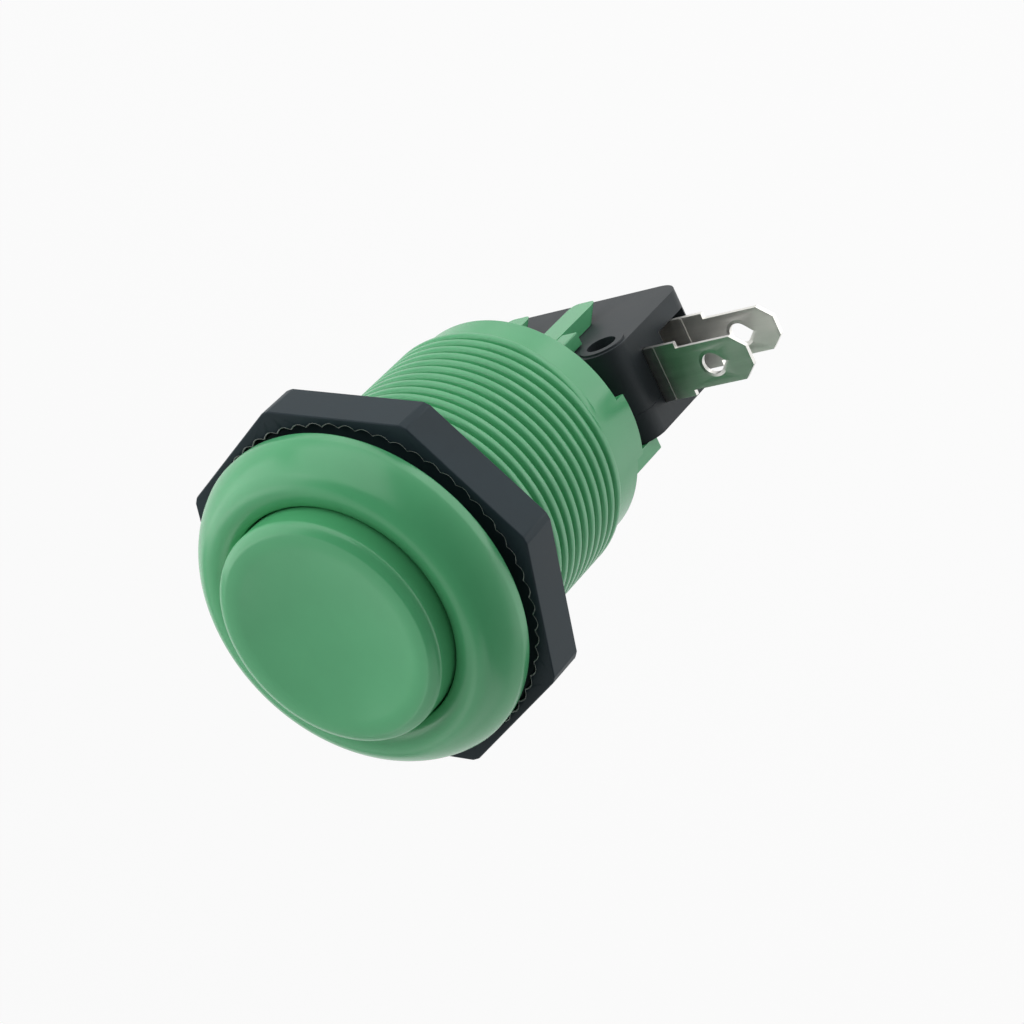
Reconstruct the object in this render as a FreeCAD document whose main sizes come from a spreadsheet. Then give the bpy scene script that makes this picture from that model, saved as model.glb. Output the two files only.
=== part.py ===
import FreeCAD, Part
import math
import os
import Sketcher

# Panel-mounted push button with a concave plunger, a long threaded barrel, an octagonal panel nut
# and a snap-action switch clipped into a cradle behind the barrel.
# Millimetres. Origin on the button's axis in the plane of the panel, under the bezel. +Z points out of
# the panel towards the player, +X along the switch towards its two side blades.

DIMENSIONS = (
    # bezel
    ("bezel_radius", 17.5),
    ("rim_height", 1.1),
    ("rim_edge", 0.3),
    ("slope_width", 1.84),
    ("slope_rise", 0.22),
    ("shoulder_height", 3.96),
    ("roll_rise", 0.68),
    ("lip_height", 4.17),
    # barrel
    ("barrel_wall", 1.05),
    ("thread_depth", 0.68),
    ("thread_pitch", 1.38),
    ("ridge_crest", 0.6),
    ("neck_length", 2.1),
    ("thread_end", 27.25),
    ("barrel_length", 30.64),
    ("stop_width", 0.72),
    ("collar_wall", 1.7),
    ("floor_thickness", 2.0),
    # plunger
    ("plunger_radius", 11.87),
    ("plunger_clearance", 0.28),
    ("plunger_top", 7.37),
    ("rim_width", 1.8),
    ("crown_fall", 0.52),
    ("crown_rise", 0.133),
    ("edge_width", 0.24),
    ("edge_fall", 0.48),
    ("edge_rise", 0.063),
    ("dish_depth", 1.0),
    ("cap_thickness", 2.2),
    ("skirt_wall", 1.5),
    ("skirt_reach", 9.0),
    ("plunger_travel", 3.0),
    ("stop_gap", 0.2),
    ("stem_radius", 2.6),
    ("stem_clearance", 0.3),
    ("leg_width", 3.5),
    ("leg_thickness", 1.6),
    ("leg_embed", 0.6),
    ("leg_root", 3.0),
    ("leg_clearance", 0.25),
    ("hook_reach", 1.2),
    ("hook_height", 1.5),
    ("hook_gap", 0.1),
    # return spring
    ("coil_radius", 4.6),
    ("wire_radius", 0.4),
    ("coil_turns", 9.0),
    ("coil_gap", 0.02),
    # panel nut
    ("nut_across_flats", 36.6),
    ("nut_thickness", 4.6),
    ("nut_gap", 1.17),
    ("nut_clearance", 0.12),
    ("nut_corner", 0.4),
    ("nut_edge", 0.15),
    ("nut_angle", 5.8),
    ("recess_clearance", 0.05),
    ("recess_depth", 1.0),
    ("scallop_radius", 0.4),
    ("scallop_count", 60.0),
    # cradle
    ("standoff", 3.41),
    ("seat_inner", 4.5),
    ("seat_outer", 8.3),
    ("seat_margin", 0.55),
    ("cradle_gap", 0.05),
    ("cradle_wall", 1.55),
    ("cradle_sink", 1.0),
    ("finger_width", 3.1),
    ("finger_reach", 15.3),
    ("finger_lead", 1.9),
    ("near_finger", 2.75),
    ("far_finger", -5.75),
    ("block_right", 6.2),
    ("block_reach", 7.6),
    ("wall_right", 11.0),
    ("wall_reach", 5.9),
    ("rib_thickness", 0.93),
    ("rib_top", 1.65),
    ("rib_bottom", 5.0),
    ("rib_height", 1.15),
    # switch case and cover
    ("switch_length", 27.8),
    ("switch_depth", 15.9),
    ("switch_thickness", 10.3),
    ("cover_thickness", 3.05),
    ("switch_wall", 1.2),
    ("corner_radius", 1.3),
    ("end_corner_radius", 2.8),
    ("hole_inset", 2.8),
    ("hole_radius", 1.55),
    ("ring_width", 0.85),
    ("ring_height", 0.2),
    ("hole_spread", 22.2),
    ("hole_drop", 10.3),
    ("pin_to_hole", 9.35),
    # switch pin
    ("pin_radius", 1.4),
    ("pin_clearance", 0.06),
    ("pin_proud", 2.2),
    ("pin_travel", 1.6),
    ("pin_dome", 0.35),
    ("pin_collar", 0.5),
    ("pin_collar_height", 0.9),
    ("pin_reach", 4.1),
    ("press_gap", 0.1),
    # switch metalwork
    ("strip_thickness", 0.5),
    ("strip_clearance", 0.05),
    ("shoulder_width", 6.0),
    ("shoulder_length", 3.75),
    ("tab_width", 4.75),
    ("tab_length", 11.6),
    ("tip_length", 1.45),
    ("tip_width", 2.1),
    ("eye_radius", 1.15),
    ("eye_from_tip", 4.45),
    ("closed_drop", 5.05),
    ("blade_spacing", 6.3),
    ("open_rise", 3.0),
    ("mouth_height", 2.75),
    ("mouth_depth", 1.75),
    ("common_gap", 0.6),
    ("common_length", 7.0),
    # contacts and snap blade
    ("contact_place", 4.2),
    ("contact_radius", 1.4),
    ("contact_height", 0.7),
    ("contact_margin", 1.6),
    ("shank_radius", 0.6),
    ("head_radius", 1.3),
    ("head_height", 0.3),
    ("contact_gap", 0.03),
    ("blade_thickness", 0.2),
    ("blade_width", 4.0),
    ("pivot_place", 9.0),
    ("pivot_lip", 0.6),
    ("pivot_gap", 0.04),
    ("tongue_half", 0.9),
    ("tongue_slit", 0.2),
    ("tongue_start", 3.0),
    ("tongue_end", 2.0),
)

doc = FreeCAD.newDocument("push_button")
sheet = doc.addObject("Spreadsheet::Sheet", "Dims")
for row, (alias, number) in enumerate(DIMENSIONS, start=1):
    sheet.set(f"A{row}", alias)
    sheet.set(f"B{row}", str(number))
    sheet.setAlias(f"B{row}", alias)
doc.recompute()


class Size:
    """A number together with the sheet expression that gives it."""

    def __init__(self, text, value):
        self.text = text
        self.value = value

    @staticmethod
    def of(other):
        return other if isinstance(other, Size) else Size(f"{other}", float(other))

    def __add__(self, other):
        other = Size.of(other)
        return Size(f"({self.text} + {other.text})", self.value + other.value)

    def __sub__(self, other):
        other = Size.of(other)
        return Size(f"({self.text} - ({other.text}))", self.value - other.value)

    def __mul__(self, other):
        other = Size.of(other)
        return Size(f"({self.text} * {other.text})", self.value * other.value)

    def __truediv__(self, other):
        other = Size.of(other)
        return Size(f"({self.text} / {other.text})", self.value / other.value)

    def __neg__(self):
        return Size(f"(0 - {self.text})", -self.value)


class Named:
    """The sheet's cells as attributes, so that d.bezel_radius reads as a size."""

    def __getattr__(self, alias):
        return Size(f"Dims.{alias}", float(sheet.get(alias)))


d = Named()
ZERO = Size("0", 0.0)


def bind(feature, name, size):
    """Ties one property of a feature to the sheet."""
    feature.setExpression(name, Size.of(size).text)


def place(feature, x, y, z, rotation=None):
    """Puts a feature at a point of the sheet, turned if a rotation is given."""
    x, y, z = Size.of(x), Size.of(y), Size.of(z)
    base = FreeCAD.Vector(x.value, y.value, z.value)
    feature.Placement = FreeCAD.Placement(base, rotation or FreeCAD.Rotation())
    for letter, size in (("x", x), ("y", y), ("z", z)):
        bind(feature, f"Placement.Base.{letter}", size)


def box(name, x, y, z):
    """A block between pairs of limits along each axis."""
    block = doc.addObject("Part::Box", name)
    for side, (low, high) in (("Length", x), ("Width", y), ("Height", z)):
        bind(block, side, Size.of(high) - low)
    place(block, x[0], y[0], z[0])
    return block


TURNS = {
    "x": FreeCAD.Rotation(FreeCAD.Vector(0, 1, 0), 90),
    "y": FreeCAD.Rotation(FreeCAD.Vector(1, 0, 0), -90),
    "z": FreeCAD.Rotation(),
}


def rod(name, radius, start, length, axis="z"):
    """A cylinder from a start point along an axis."""
    cylinder = doc.addObject("Part::Cylinder", name)
    bind(cylinder, "Radius", radius)
    bind(cylinder, "Height", length)
    place(cylinder, *start, rotation=TURNS[axis])
    return cylinder


def fused(name, *pieces):
    union = doc.addObject("Part::MultiFuse", name)
    union.Shapes = list(pieces)
    union.Refine = True
    return union


def cut(name, base, *tools):
    difference = doc.addObject("Part::Cut", name)
    difference.Base = base
    difference.Tool = tools[0] if len(tools) == 1 else fused(f"{name}_tools", *tools)
    return difference


def common(name, first, second):
    overlap = doc.addObject("Part::Common", name)
    overlap.Base = first
    overlap.Tool = second
    return overlap


def arc_radius(start, end, rise):
    """The radius of an arc over a chord, from how far it rises above the chord."""
    across = end[0] - start[0]
    along = end[1] - start[1]
    return ((across * across + along * along) / 4 + rise * rise) / (rise * 2)


def arc_of(start, end, radius, side):
    """The shorter arc between two points, with its centre to the left (1) or right (-1) of the way."""
    middle = (start + end) * 0.5
    way = end - start
    normal = FreeCAD.Vector(-way.y, way.x, 0).normalize() * side
    centre = middle + normal * math.sqrt(max(radius**2 - way.Length**2 / 4, 0.0))
    first, last = (start, end) if side > 0 else (end, start)
    angles = [math.atan2(point.y - centre.y, point.x - centre.x) for point in (first, last)]
    if angles[1] < angles[0]:
        angles[1] += 2 * math.pi
    circle = Part.Circle(centre, FreeCAD.Vector(0, 0, 1), radius)
    return Part.ArcOfCircle(circle, angles[0], angles[1])


def draw(sketch, outline):
    """Draws a closed outline with every corner and radius tied to the sheet.

    A corner is (across, up), or (across, up, radius, side) where an arc leads to it.
    """
    corners = [tuple(Size.of(value) for value in corner[:2]) for corner in outline]
    points = [FreeCAD.Vector(across.value, up.value, 0) for across, up in corners]
    count = len(outline)
    ends = []
    radii = []
    for index in range(count):
        following = (index + 1) % count
        curve = outline[following][2:]
        if curve:
            radius, side = Size.of(curve[0]), curve[1]
            geometry = arc_of(points[index], points[following], radius.value, side)
            ends.append((1, 2) if side > 0 else (2, 1))
            radii.append((index, radius))
        else:
            geometry = Part.LineSegment(points[index], points[following])
            ends.append((1, 2))
        sketch.addGeometry(geometry, False)
    for index in range(count):
        following = (index + 1) % count
        joint = (index, ends[index][1], following, ends[following][0])
        sketch.addConstraint(Sketcher.Constraint("Coincident", *joint))
    for index, corner in enumerate(corners):
        for kind, size in (("DistanceX", corner[0]), ("DistanceY", corner[1])):
            rule = Sketcher.Constraint(kind, -1, 1, index, ends[index][0], size.value)
            number = sketch.addConstraint(rule)
            sketch.renameConstraint(number, f"{kind}{index}")
            bind(sketch, f"Constraints.{kind}{index}", size)
    for index, radius in radii:
        number = sketch.addConstraint(Sketcher.Constraint("Radius", index, radius.value))
        sketch.renameConstraint(number, f"Radius{index}")
        bind(sketch, f"Constraints.Radius{index}", radius)


def origin_feature(body, role):
    return [feature for feature in body.Origin.OriginFeatures if feature.Role == role][0]


def body_sketch(body, name, outline):
    """A sketch on a body's XZ plane: across is the radius and up is the height."""
    sketch = body.newObject("Sketcher::SketchObject", name)
    sketch.AttachmentSupport = (origin_feature(body, "XZ_Plane"), "")
    sketch.MapMode = "FlatFace"
    draw(sketch, outline)
    return sketch


def turned(body, name, outline):
    """A solid of revolution about the button's axis, added to a body."""
    sketch = body_sketch(body, f"{name}_outline", outline)
    revolution = body.newObject("PartDesign::Revolution", name)
    revolution.Profile = (sketch, [""])
    revolution.ReferenceAxis = (sketch, ["V_Axis"])
    revolution.Angle = 360.0
    doc.recompute()
    return revolution


def plate(name, outline, plane, low, high):
    """An outline in the XY, XZ or YZ plane, carried from one level to another along the third axis."""
    sketch = doc.addObject("Sketcher::SketchObject", f"{name}_outline")
    draw(sketch, outline)
    if plane == "XZ":
        place(sketch, 0, low, 0, FreeCAD.Rotation(FreeCAD.Vector(1, 0, 0), 90))
        direction = FreeCAD.Vector(0, 1, 0)
    elif plane == "YZ":
        place(sketch, low, 0, 0, FreeCAD.Rotation(FreeCAD.Vector(1, 1, 1), 120))
        direction = FreeCAD.Vector(1, 0, 0)
    else:
        place(sketch, 0, 0, low)
        direction = FreeCAD.Vector(0, 0, 1)
    extrusion = doc.addObject("Part::Extrusion", name)
    extrusion.Base = sketch
    extrusion.DirMode = "Custom"
    extrusion.Dir = direction
    bind(extrusion, "LengthFwd", Size.of(high) - low)
    extrusion.Solid = True
    return extrusion


def either_side(half):
    return (-half, half)


# Levels and radii that several pieces share
bore = d.plunger_radius + d.plunger_clearance
lower_bore = bore - d.stop_width
root_radius = bore + d.barrel_wall
collar_radius = lower_bore + d.collar_wall
crest = root_radius + d.thread_depth
floor_rear = -d.barrel_length
floor_front = floor_rear + d.floor_thickness
stop_level = -(d.skirt_reach + d.plunger_travel + d.stop_gap)
cap_under = d.plunger_top - d.dish_depth - d.cap_thickness
leg_outer = d.plunger_radius - d.skirt_wall + d.leg_embed
leg_inner = leg_outer - d.leg_thickness
switch_front = floor_rear - d.standoff
switch_rear = switch_front - d.switch_depth
switch_right = d.pin_to_hole + d.hole_inset
switch_left = switch_right - d.switch_length
face = d.switch_thickness / 2
parting = d.cover_thickness - face
hole_level = switch_front - d.hole_inset
holes = ((d.pin_to_hole, hole_level), (d.pin_to_hole - d.hole_spread, hole_level - d.hole_drop))
pin_top = switch_front + d.pin_proud
stem_end = pin_top + d.plunger_travel - d.pin_travel + d.press_gap
closed_level = switch_front - d.closed_drop
open_level = closed_level - d.blade_spacing
half_strip = d.strip_thickness / 2
common_place = holes[1][0] + d.hole_inset + d.common_gap
closed_face = closed_level - half_strip - d.contact_height
blade_top = closed_face - d.contact_gap - d.head_height
blade_bottom = blade_top - d.blade_thickness
seat_of_open = open_level + d.open_rise + half_strip

nodes = {}


def make_button_body():
    """Bezel, threaded barrel, floor and switch cradle: one green moulding."""
    body = doc.addObject("PartDesign::Body", "barrel")
    shoulder = (d.bezel_radius - d.slope_width, d.shoulder_height)
    lip = (bore, d.lip_height)
    rim = (d.bezel_radius, d.rim_height)
    stem_hole = d.stem_radius + d.stem_clearance
    turned(body, "barrel_turning", [
        lip,
        (*shoulder, arc_radius(lip, shoulder, d.roll_rise), -1),
        (*rim, arc_radius(shoulder, rim, d.slope_rise), -1),
        (d.bezel_radius, d.rim_edge),
        (d.bezel_radius - d.rim_edge, ZERO),
        (root_radius, ZERO),
        (root_radius, -d.thread_end),
        (collar_radius, -d.thread_end),
        (collar_radius, floor_rear),
        (stem_hole, floor_rear),
        (stem_hole, floor_front),
        (lower_bore, floor_front),
        (lower_bore, stop_level),
        (bore, stop_level),
    ])
    ridge_foot = root_radius - d.thread_depth / 4
    ridge_start = -d.neck_length
    flank = (d.thread_pitch - d.ridge_crest) / 2
    ridge = turned(body, "thread_ridge", [
        (ridge_foot, ridge_start),
        (ridge_foot, ridge_start - d.thread_pitch),
        (crest, ridge_start - flank - d.ridge_crest),
        (crest, ridge_start - flank),
    ])
    pattern = body.newObject("PartDesign::LinearPattern", "thread_ridges")
    pattern.Originals = [ridge]
    pattern.Direction = (origin_feature(body, "Z_Axis"), [""])
    pattern.Reversed = True
    threaded = d.thread_end - d.neck_length
    copies = f"floor({(threaded / d.thread_pitch).text})"
    pattern.setExpression("Occurrences", copies)
    pattern.setExpression("Length", f"({copies} - 1) * {d.thread_pitch.text}")
    body.Tip = pattern
    doc.recompute()

    foot = floor_rear + d.cradle_sink
    upper = (face + d.cradle_gap, face + d.cradle_gap + d.cradle_wall)
    lower = (-upper[1], -upper[0])
    seat_depth = either_side(face - d.seat_margin)
    finger_end = floor_rear - d.finger_reach
    finger = [
        (upper[0], foot),
        (upper[0], finger_end + d.finger_lead),
        (upper[1], finger_end),
        (upper[1], foot),
    ]
    half_finger = d.finger_width / 2
    rib_end = floor_rear - d.rib_height
    rib_across = (collar_radius - d.rib_thickness, collar_radius)
    rib = common(
        "end_rib",
        box("rib_block", rib_across, (-d.rib_bottom, d.rib_top), (rib_end, foot)),
        rod("rib_round", collar_radius, (0, 0, rib_end), d.rib_height + d.cradle_sink),
    )
    cradle = (
        box("right_seat", (d.seat_inner, d.seat_outer), seat_depth, (switch_front, foot)),
        box("left_seat", (-d.seat_outer, -d.seat_inner), seat_depth, (switch_front, foot)),
        plate("near_finger_arm", finger, "YZ", d.near_finger - half_finger, d.near_finger + half_finger),
        plate("far_finger_arm", finger, "YZ", d.far_finger - half_finger, d.far_finger + half_finger),
        box("upper_block", (d.near_finger, d.block_right), upper, (floor_rear - d.block_reach, foot)),
        box("lower_wall", either_side(d.wall_right), lower, (floor_rear - d.wall_reach, foot)),
        rib,
    )
    moulding = fused("moulding", body, *cradle)
    half_slot = d.leg_width / 2 + d.leg_clearance
    through = (floor_rear - d.cradle_sink, floor_front + d.cradle_sink)
    near, far = leg_inner - d.leg_clearance, leg_outer + d.leg_clearance
    slots = (
        box("upper_leg_slot", either_side(half_slot), (near, far), through),
        box("lower_leg_slot", either_side(half_slot), (-far, -near), through),
    )
    nodes["button_body"] = cut("button_moulding", moulding, *slots)


def make_plunger():
    """Concave cap with a guide skirt, a stem that presses the switch and two hooked legs."""
    body = doc.addObject("PartDesign::Body", "plunger_core")
    dish_width = d.plunger_radius - d.rim_width
    dish_radius = (dish_width * dish_width + d.dish_depth * d.dish_depth) / (d.dish_depth * 2)
    dish_end = (dish_width, d.plunger_top)
    crown_end = (d.plunger_radius - d.edge_width, d.plunger_top - d.crown_fall)
    wall_start = (d.plunger_radius, d.plunger_top - d.crown_fall - d.edge_fall)
    skirt_inner = d.plunger_radius - d.skirt_wall
    turned(body, "plunger_wall", [
        (ZERO, d.plunger_top - d.dish_depth),
        (*dish_end, dish_radius, 1),
        (*crown_end, arc_radius(dish_end, crown_end, d.crown_rise), -1),
        (*wall_start, arc_radius(crown_end, wall_start, d.edge_rise), -1),
        (d.plunger_radius, -d.skirt_reach),
        (skirt_inner, -d.skirt_reach),
        (skirt_inner, cap_under),
        (d.stem_radius, cap_under),
        (d.stem_radius, stem_end),
        (ZERO, stem_end),
    ])
    hook_top = floor_rear - d.hook_gap
    hook_foot = hook_top - d.hook_height
    half_leg = either_side(d.leg_width / 2)
    leg_levels = (hook_foot, d.leg_root - d.skirt_reach)
    hook_tip = leg_inner - d.hook_reach
    middle = (leg_inner + leg_outer) / 2
    legs = (
        box("upper_leg", half_leg, (leg_inner, leg_outer), leg_levels),
        box("lower_leg", half_leg, (-leg_outer, -leg_inner), leg_levels),
        box("upper_hook", half_leg, (hook_tip, middle), (hook_foot, hook_top)),
        box("lower_hook", half_leg, (-middle, -hook_tip), (hook_foot, hook_top)),
    )
    nodes["plunger"] = fused("plunger_moulding", body, *legs)


def make_return_spring():
    """Compression spring around the stem, between the barrel's floor and the cap."""
    start = floor_front + d.coil_gap + d.wire_radius
    length = cap_under - floor_front - d.coil_gap * 2 - d.wire_radius * 2
    coil = doc.addObject("Part::Helix", "spring_line")
    bind(coil, "Radius", d.coil_radius)
    bind(coil, "Height", length)
    bind(coil, "Pitch", length / d.coil_turns)
    place(coil, 0, 0, start)
    wire = doc.addObject("Part::Circle", "spring_wire")
    bind(wire, "Radius", d.wire_radius)
    place(wire, d.coil_radius, 0, start, FreeCAD.Rotation(FreeCAD.Vector(1, 0, 0), 90))
    sweep = doc.addObject("Part::Sweep", "spring_coil")
    sweep.Sections = [wire]
    sweep.Spine = (coil, [])
    sweep.Solid = True
    sweep.Frenet = True
    nodes["return_spring"] = sweep


def make_panel_nut():
    """Octagonal nut with a scalloped recess in its front face."""
    body = doc.addObject("PartDesign::Body", "nut")
    rear = -d.nut_gap - d.nut_thickness
    blank = body.newObject("PartDesign::AdditivePrism", "nut_blank")
    blank.Polygon = 8
    corner_share = math.cos(math.pi / 8)
    bind(blank, "Circumradius", d.nut_across_flats / 2 / corner_share)
    bind(blank, "Height", d.nut_thickness)
    doc.recompute()
    corners = body.newObject("PartDesign::Chamfer", "nut_corners")
    upright = [
        f"Edge{number}" for number, edge in enumerate(blank.Shape.Edges, start=1)
        if abs(edge.tangentAt(edge.FirstParameter).z) > 0.9
    ]
    corners.Base = (blank, upright)
    bind(corners, "Size", d.nut_corner)
    doc.recompute()
    edges = body.newObject("PartDesign::Chamfer", "nut_edges")
    flat = [
        f"Edge{number}" for number, edge in enumerate(corners.Shape.Edges, start=1)
        if abs(edge.tangentAt(edge.FirstParameter).z) < 0.1
    ]
    edges.Base = (corners, flat)
    bind(edges, "Size", d.nut_edge)
    doc.recompute()
    recess_radius = d.bezel_radius - d.rim_edge + d.recess_clearance
    recess_floor = d.nut_thickness - d.recess_depth

    def drill(name, radius, across, level, length):
        tool = body.newObject("PartDesign::SubtractiveCylinder", name)
        bind(tool, "Radius", radius)
        bind(tool, "Height", length)
        bind(tool, "AttachmentOffset.Base.x", across)
        bind(tool, "AttachmentOffset.Base.z", level)
        tool.AttachmentSupport = (origin_feature(body, "XY_Plane"), "")
        tool.MapMode = "FlatFace"
        doc.recompute()
        return tool

    drill("nut_bore", crest + d.nut_clearance, ZERO, ZERO, d.nut_thickness)
    drill("nut_recess", recess_radius, ZERO, recess_floor, d.recess_depth)
    scallop = drill("nut_scallop", d.scallop_radius, recess_radius, recess_floor, d.recess_depth)
    ring = body.newObject("PartDesign::PolarPattern", "nut_scallops")
    ring.Originals = [scallop]
    ring.Axis = (origin_feature(body, "Z_Axis"), [""])
    ring.Angle = 360.0
    ring.setExpression("Occurrences", d.scallop_count.text)
    body.Tip = ring
    place(body, 0, 0, rear, FreeCAD.Rotation(FreeCAD.Vector(0, 0, 1), d.nut_angle.value))
    bind(body, "Placement.Rotation.Angle", d.nut_angle)
    nodes["panel_nut"] = body


def switch_outline():
    """The switch seen on its broad face, with the boss of its fixing hole as one round corner."""
    small, boss, end = d.corner_radius, d.hole_inset, d.end_corner_radius
    return [
        (switch_left + small, switch_rear),
        (switch_right - end, switch_rear),
        (switch_right, switch_rear + end, end, 1),
        (switch_right, switch_front - boss),
        (switch_right - boss, switch_front, boss, 1),
        (switch_left + small, switch_front),
        (switch_left, switch_front - small, small, 1),
        (switch_left, switch_rear + small),
    ]


def close_outline(outline, radius):
    """Ends an outline with an arc back to its first corner."""
    return [(*outline[0], radius, 1), *outline[1:]]


def switch_cuts(name, low, high):
    """What is cut from the case and the cover alike: cavity, fixing holes, strip slots and mouth."""
    past = d.switch_wall
    inner = ((switch_left + d.switch_wall, switch_right - d.switch_wall), (low, high),
             (switch_rear + d.switch_wall, switch_front - d.switch_wall))
    bosses = [
        rod(f"{name}_boss_{number}", d.hole_inset, (x, low - past, z), high - low + past * 2, "y")
        for number, (x, z) in enumerate(holes, start=1)
    ]
    tools = [cut(f"{name}_cavity", box(f"{name}_room", *inner), *bosses)]
    whole = d.switch_thickness + past * 2
    for number, (x, z) in enumerate(holes, start=1):
        tools.append(rod(f"{name}_hole_{number}", d.hole_radius, (x, -face - past, z), whole, "y"))
    strip = half_strip + d.strip_clearance
    wide = either_side(d.shoulder_width / 2 + d.strip_clearance)
    beyond = switch_right + past
    for word, level in (("closed", closed_level), ("open", open_level)):
        levels = (level - strip, level + strip)
        tools.append(box(f"{name}_{word}_slot", (d.contact_place, beyond), wide, levels))
    mouth = (open_level - d.mouth_height, open_level + d.mouth_height)
    tools.append(box(f"{name}_mouth", (switch_right - d.mouth_depth, beyond), wide, mouth))
    tab = either_side(d.tab_width / 2 + d.strip_clearance)
    common_slot = (common_place - strip, common_place + strip)
    through = (switch_rear - past, switch_rear + past * 2)
    tools.append(box(f"{name}_common_slot", common_slot, tab, through))
    return tools


def make_switch_case():
    """The deep half of the switch's moulded housing, with the pin's guide hole."""
    outline = close_outline(switch_outline(), d.corner_radius)
    ring = d.hole_radius + d.ring_width
    rings = [
        rod(f"case_ring_{number}", ring, (x, face - d.switch_wall, z), d.switch_wall + d.ring_height, "y")
        for number, (x, z) in enumerate(holes, start=1)
    ]
    block = fused("case_block", plate("case_plate", outline, "XZ", parting, face), *rings)
    tools = switch_cuts("case", parting - d.switch_wall, face - d.switch_wall)
    guide_start = (0, 0, switch_front - d.switch_wall * 2)
    guide = rod("pin_guide", d.pin_radius + d.pin_clearance, guide_start, d.switch_wall * 3)
    nodes["switch_case"] = cut("case_shell", block, guide, *tools)


def make_switch_cover():
    """The shallow half of the housing."""
    outline = close_outline(switch_outline(), d.corner_radius)
    block = plate("cover_block", outline, "XZ", -face, parting)
    tools = switch_cuts("cover", -face + d.switch_wall, parting + d.switch_wall)
    nodes["switch_cover"] = cut("cover_shell", block, *tools)


def make_switch_pin():
    """Round actuator pin, held in by a collar behind the front wall."""
    body = doc.addObject("PartDesign::Body", "pin")
    collar_top = switch_front - d.switch_wall - d.press_gap
    pin_flange = d.pin_radius + d.pin_collar
    collar_foot = collar_top - d.pin_collar_height
    dome = (d.pin_radius * d.pin_radius + d.pin_dome * d.pin_dome) / (d.pin_dome * 2)
    turned(body, "pin_turning", [
        (ZERO, pin_top),
        (d.pin_radius, pin_top - d.pin_dome, dome, -1),
        (d.pin_radius, collar_top),
        (pin_flange, collar_top),
        (pin_flange, collar_foot),
        (d.pin_radius, collar_foot),
        (d.pin_radius, switch_front - d.pin_reach),
        (ZERO, switch_front - d.pin_reach),
    ])
    nodes["switch_pin"] = body


def side_blade(name, level, start):
    """A side terminal: a wide shoulder in the case, then a narrower tab with a pointed eye."""
    tip = switch_right + d.tab_length
    half_shoulder, half_tab, half_tip = d.shoulder_width / 2, d.tab_width / 2, d.tip_width / 2
    shoulder_end = switch_right + d.shoulder_length
    outline = [
        (start, -half_shoulder),
        (shoulder_end, -half_shoulder),
        (shoulder_end, -half_tab),
        (tip - d.tip_length, -half_tab),
        (tip, -half_tip),
        (tip, half_tip),
        (tip - d.tip_length, half_tab),
        (shoulder_end, half_tab),
        (shoulder_end, half_shoulder),
        (start, half_shoulder),
    ]
    low = level - half_strip
    strip = plate(f"{name}_strip", outline, "XY", low, low + d.strip_thickness)
    eye = tip - d.eye_from_tip
    round_eye = rod(f"{name}_eye", d.eye_radius, (eye, 0, low), d.strip_thickness)
    point = doc.addObject("Part::Box", f"{name}_eye_point")
    bind(point, "Length", d.eye_radius)
    bind(point, "Width", d.eye_radius)
    bind(point, "Height", d.strip_thickness)
    place(point, eye, 0, low, FreeCAD.Rotation(FreeCAD.Vector(0, 0, 1), -45))
    return cut(f"{name}_pierced", strip, round_eye, point)


def make_terminals():
    """The two side blades and the rear blade with the pivot that carries the snap blade."""
    inner = d.contact_place - d.contact_margin
    seat = (d.contact_place, 0, closed_level - half_strip)
    drilled = rod("closed_seat", d.shank_radius, seat, d.strip_thickness)
    straight = side_blade("closed", closed_level, inner)
    nodes["normally_closed_terminal"] = cut("closed_terminal", straight, drilled)

    riser = switch_right - d.shoulder_length
    wide = either_side(d.shoulder_width / 2)
    top = (seat_of_open - d.strip_thickness, seat_of_open)
    rise = (open_level - half_strip, seat_of_open)
    raised = fused(
        "open_strip_raised",
        side_blade("open", open_level, riser),
        box("open_riser", (riser, riser + d.strip_thickness), wide, rise),
        box("open_arm", (inner, riser + d.strip_thickness), wide, top),
    )
    drilled = rod("open_seat", d.shank_radius, (d.contact_place, 0, top[0]), d.strip_thickness)
    nodes["normally_open_terminal"] = cut("open_terminal", raised, drilled)

    across = (common_place - half_strip, common_place + half_strip)
    half_tab, half_tip = d.tab_width / 2, d.tip_width / 2
    tip = switch_rear - d.common_length
    bracket_top = blade_bottom - d.pivot_gap
    bracket_foot = bracket_top - d.strip_thickness
    pivot = -d.pivot_place
    lip_face = pivot - d.pivot_gap
    lip_top = blade_top + d.pivot_lip
    arm = either_side(d.blade_width / 2)
    tab = [
        (half_tab, bracket_top),
        (-half_tab, bracket_top),
        (-half_tab, tip + d.tip_length),
        (-half_tip, tip),
        (half_tip, tip),
        (half_tab, tip + d.tip_length),
    ]
    eye_start = (across[0], 0, tip + d.eye_from_tip)
    pierced = cut(
        "common_pierced",
        plate("common_blade", tab, "YZ", *across),
        rod("common_eye", d.eye_radius, eye_start, d.strip_thickness, "x"),
    )
    nodes["common_terminal"] = fused(
        "common_strip",
        pierced,
        box("common_bracket", (across[0], pivot + d.pivot_lip), arm, (bracket_foot, bracket_top)),
        box("common_lip", (lip_face - d.strip_thickness, lip_face), arm, (bracket_foot, lip_top)),
    )


def rivet(name, shank_foot, shank_top, heads):
    """A contact rivet: a shank with one or two round heads."""
    start = (d.contact_place, 0, shank_foot)
    pieces = [rod(f"{name}_shank", d.shank_radius, start, shank_top - shank_foot)]
    for number, (radius, low, height) in enumerate(heads, start=1):
        pieces.append(rod(f"{name}_head_{number}", radius, (d.contact_place, 0, low), height))
    return fused(f"{name}_rivet", *pieces)


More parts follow.
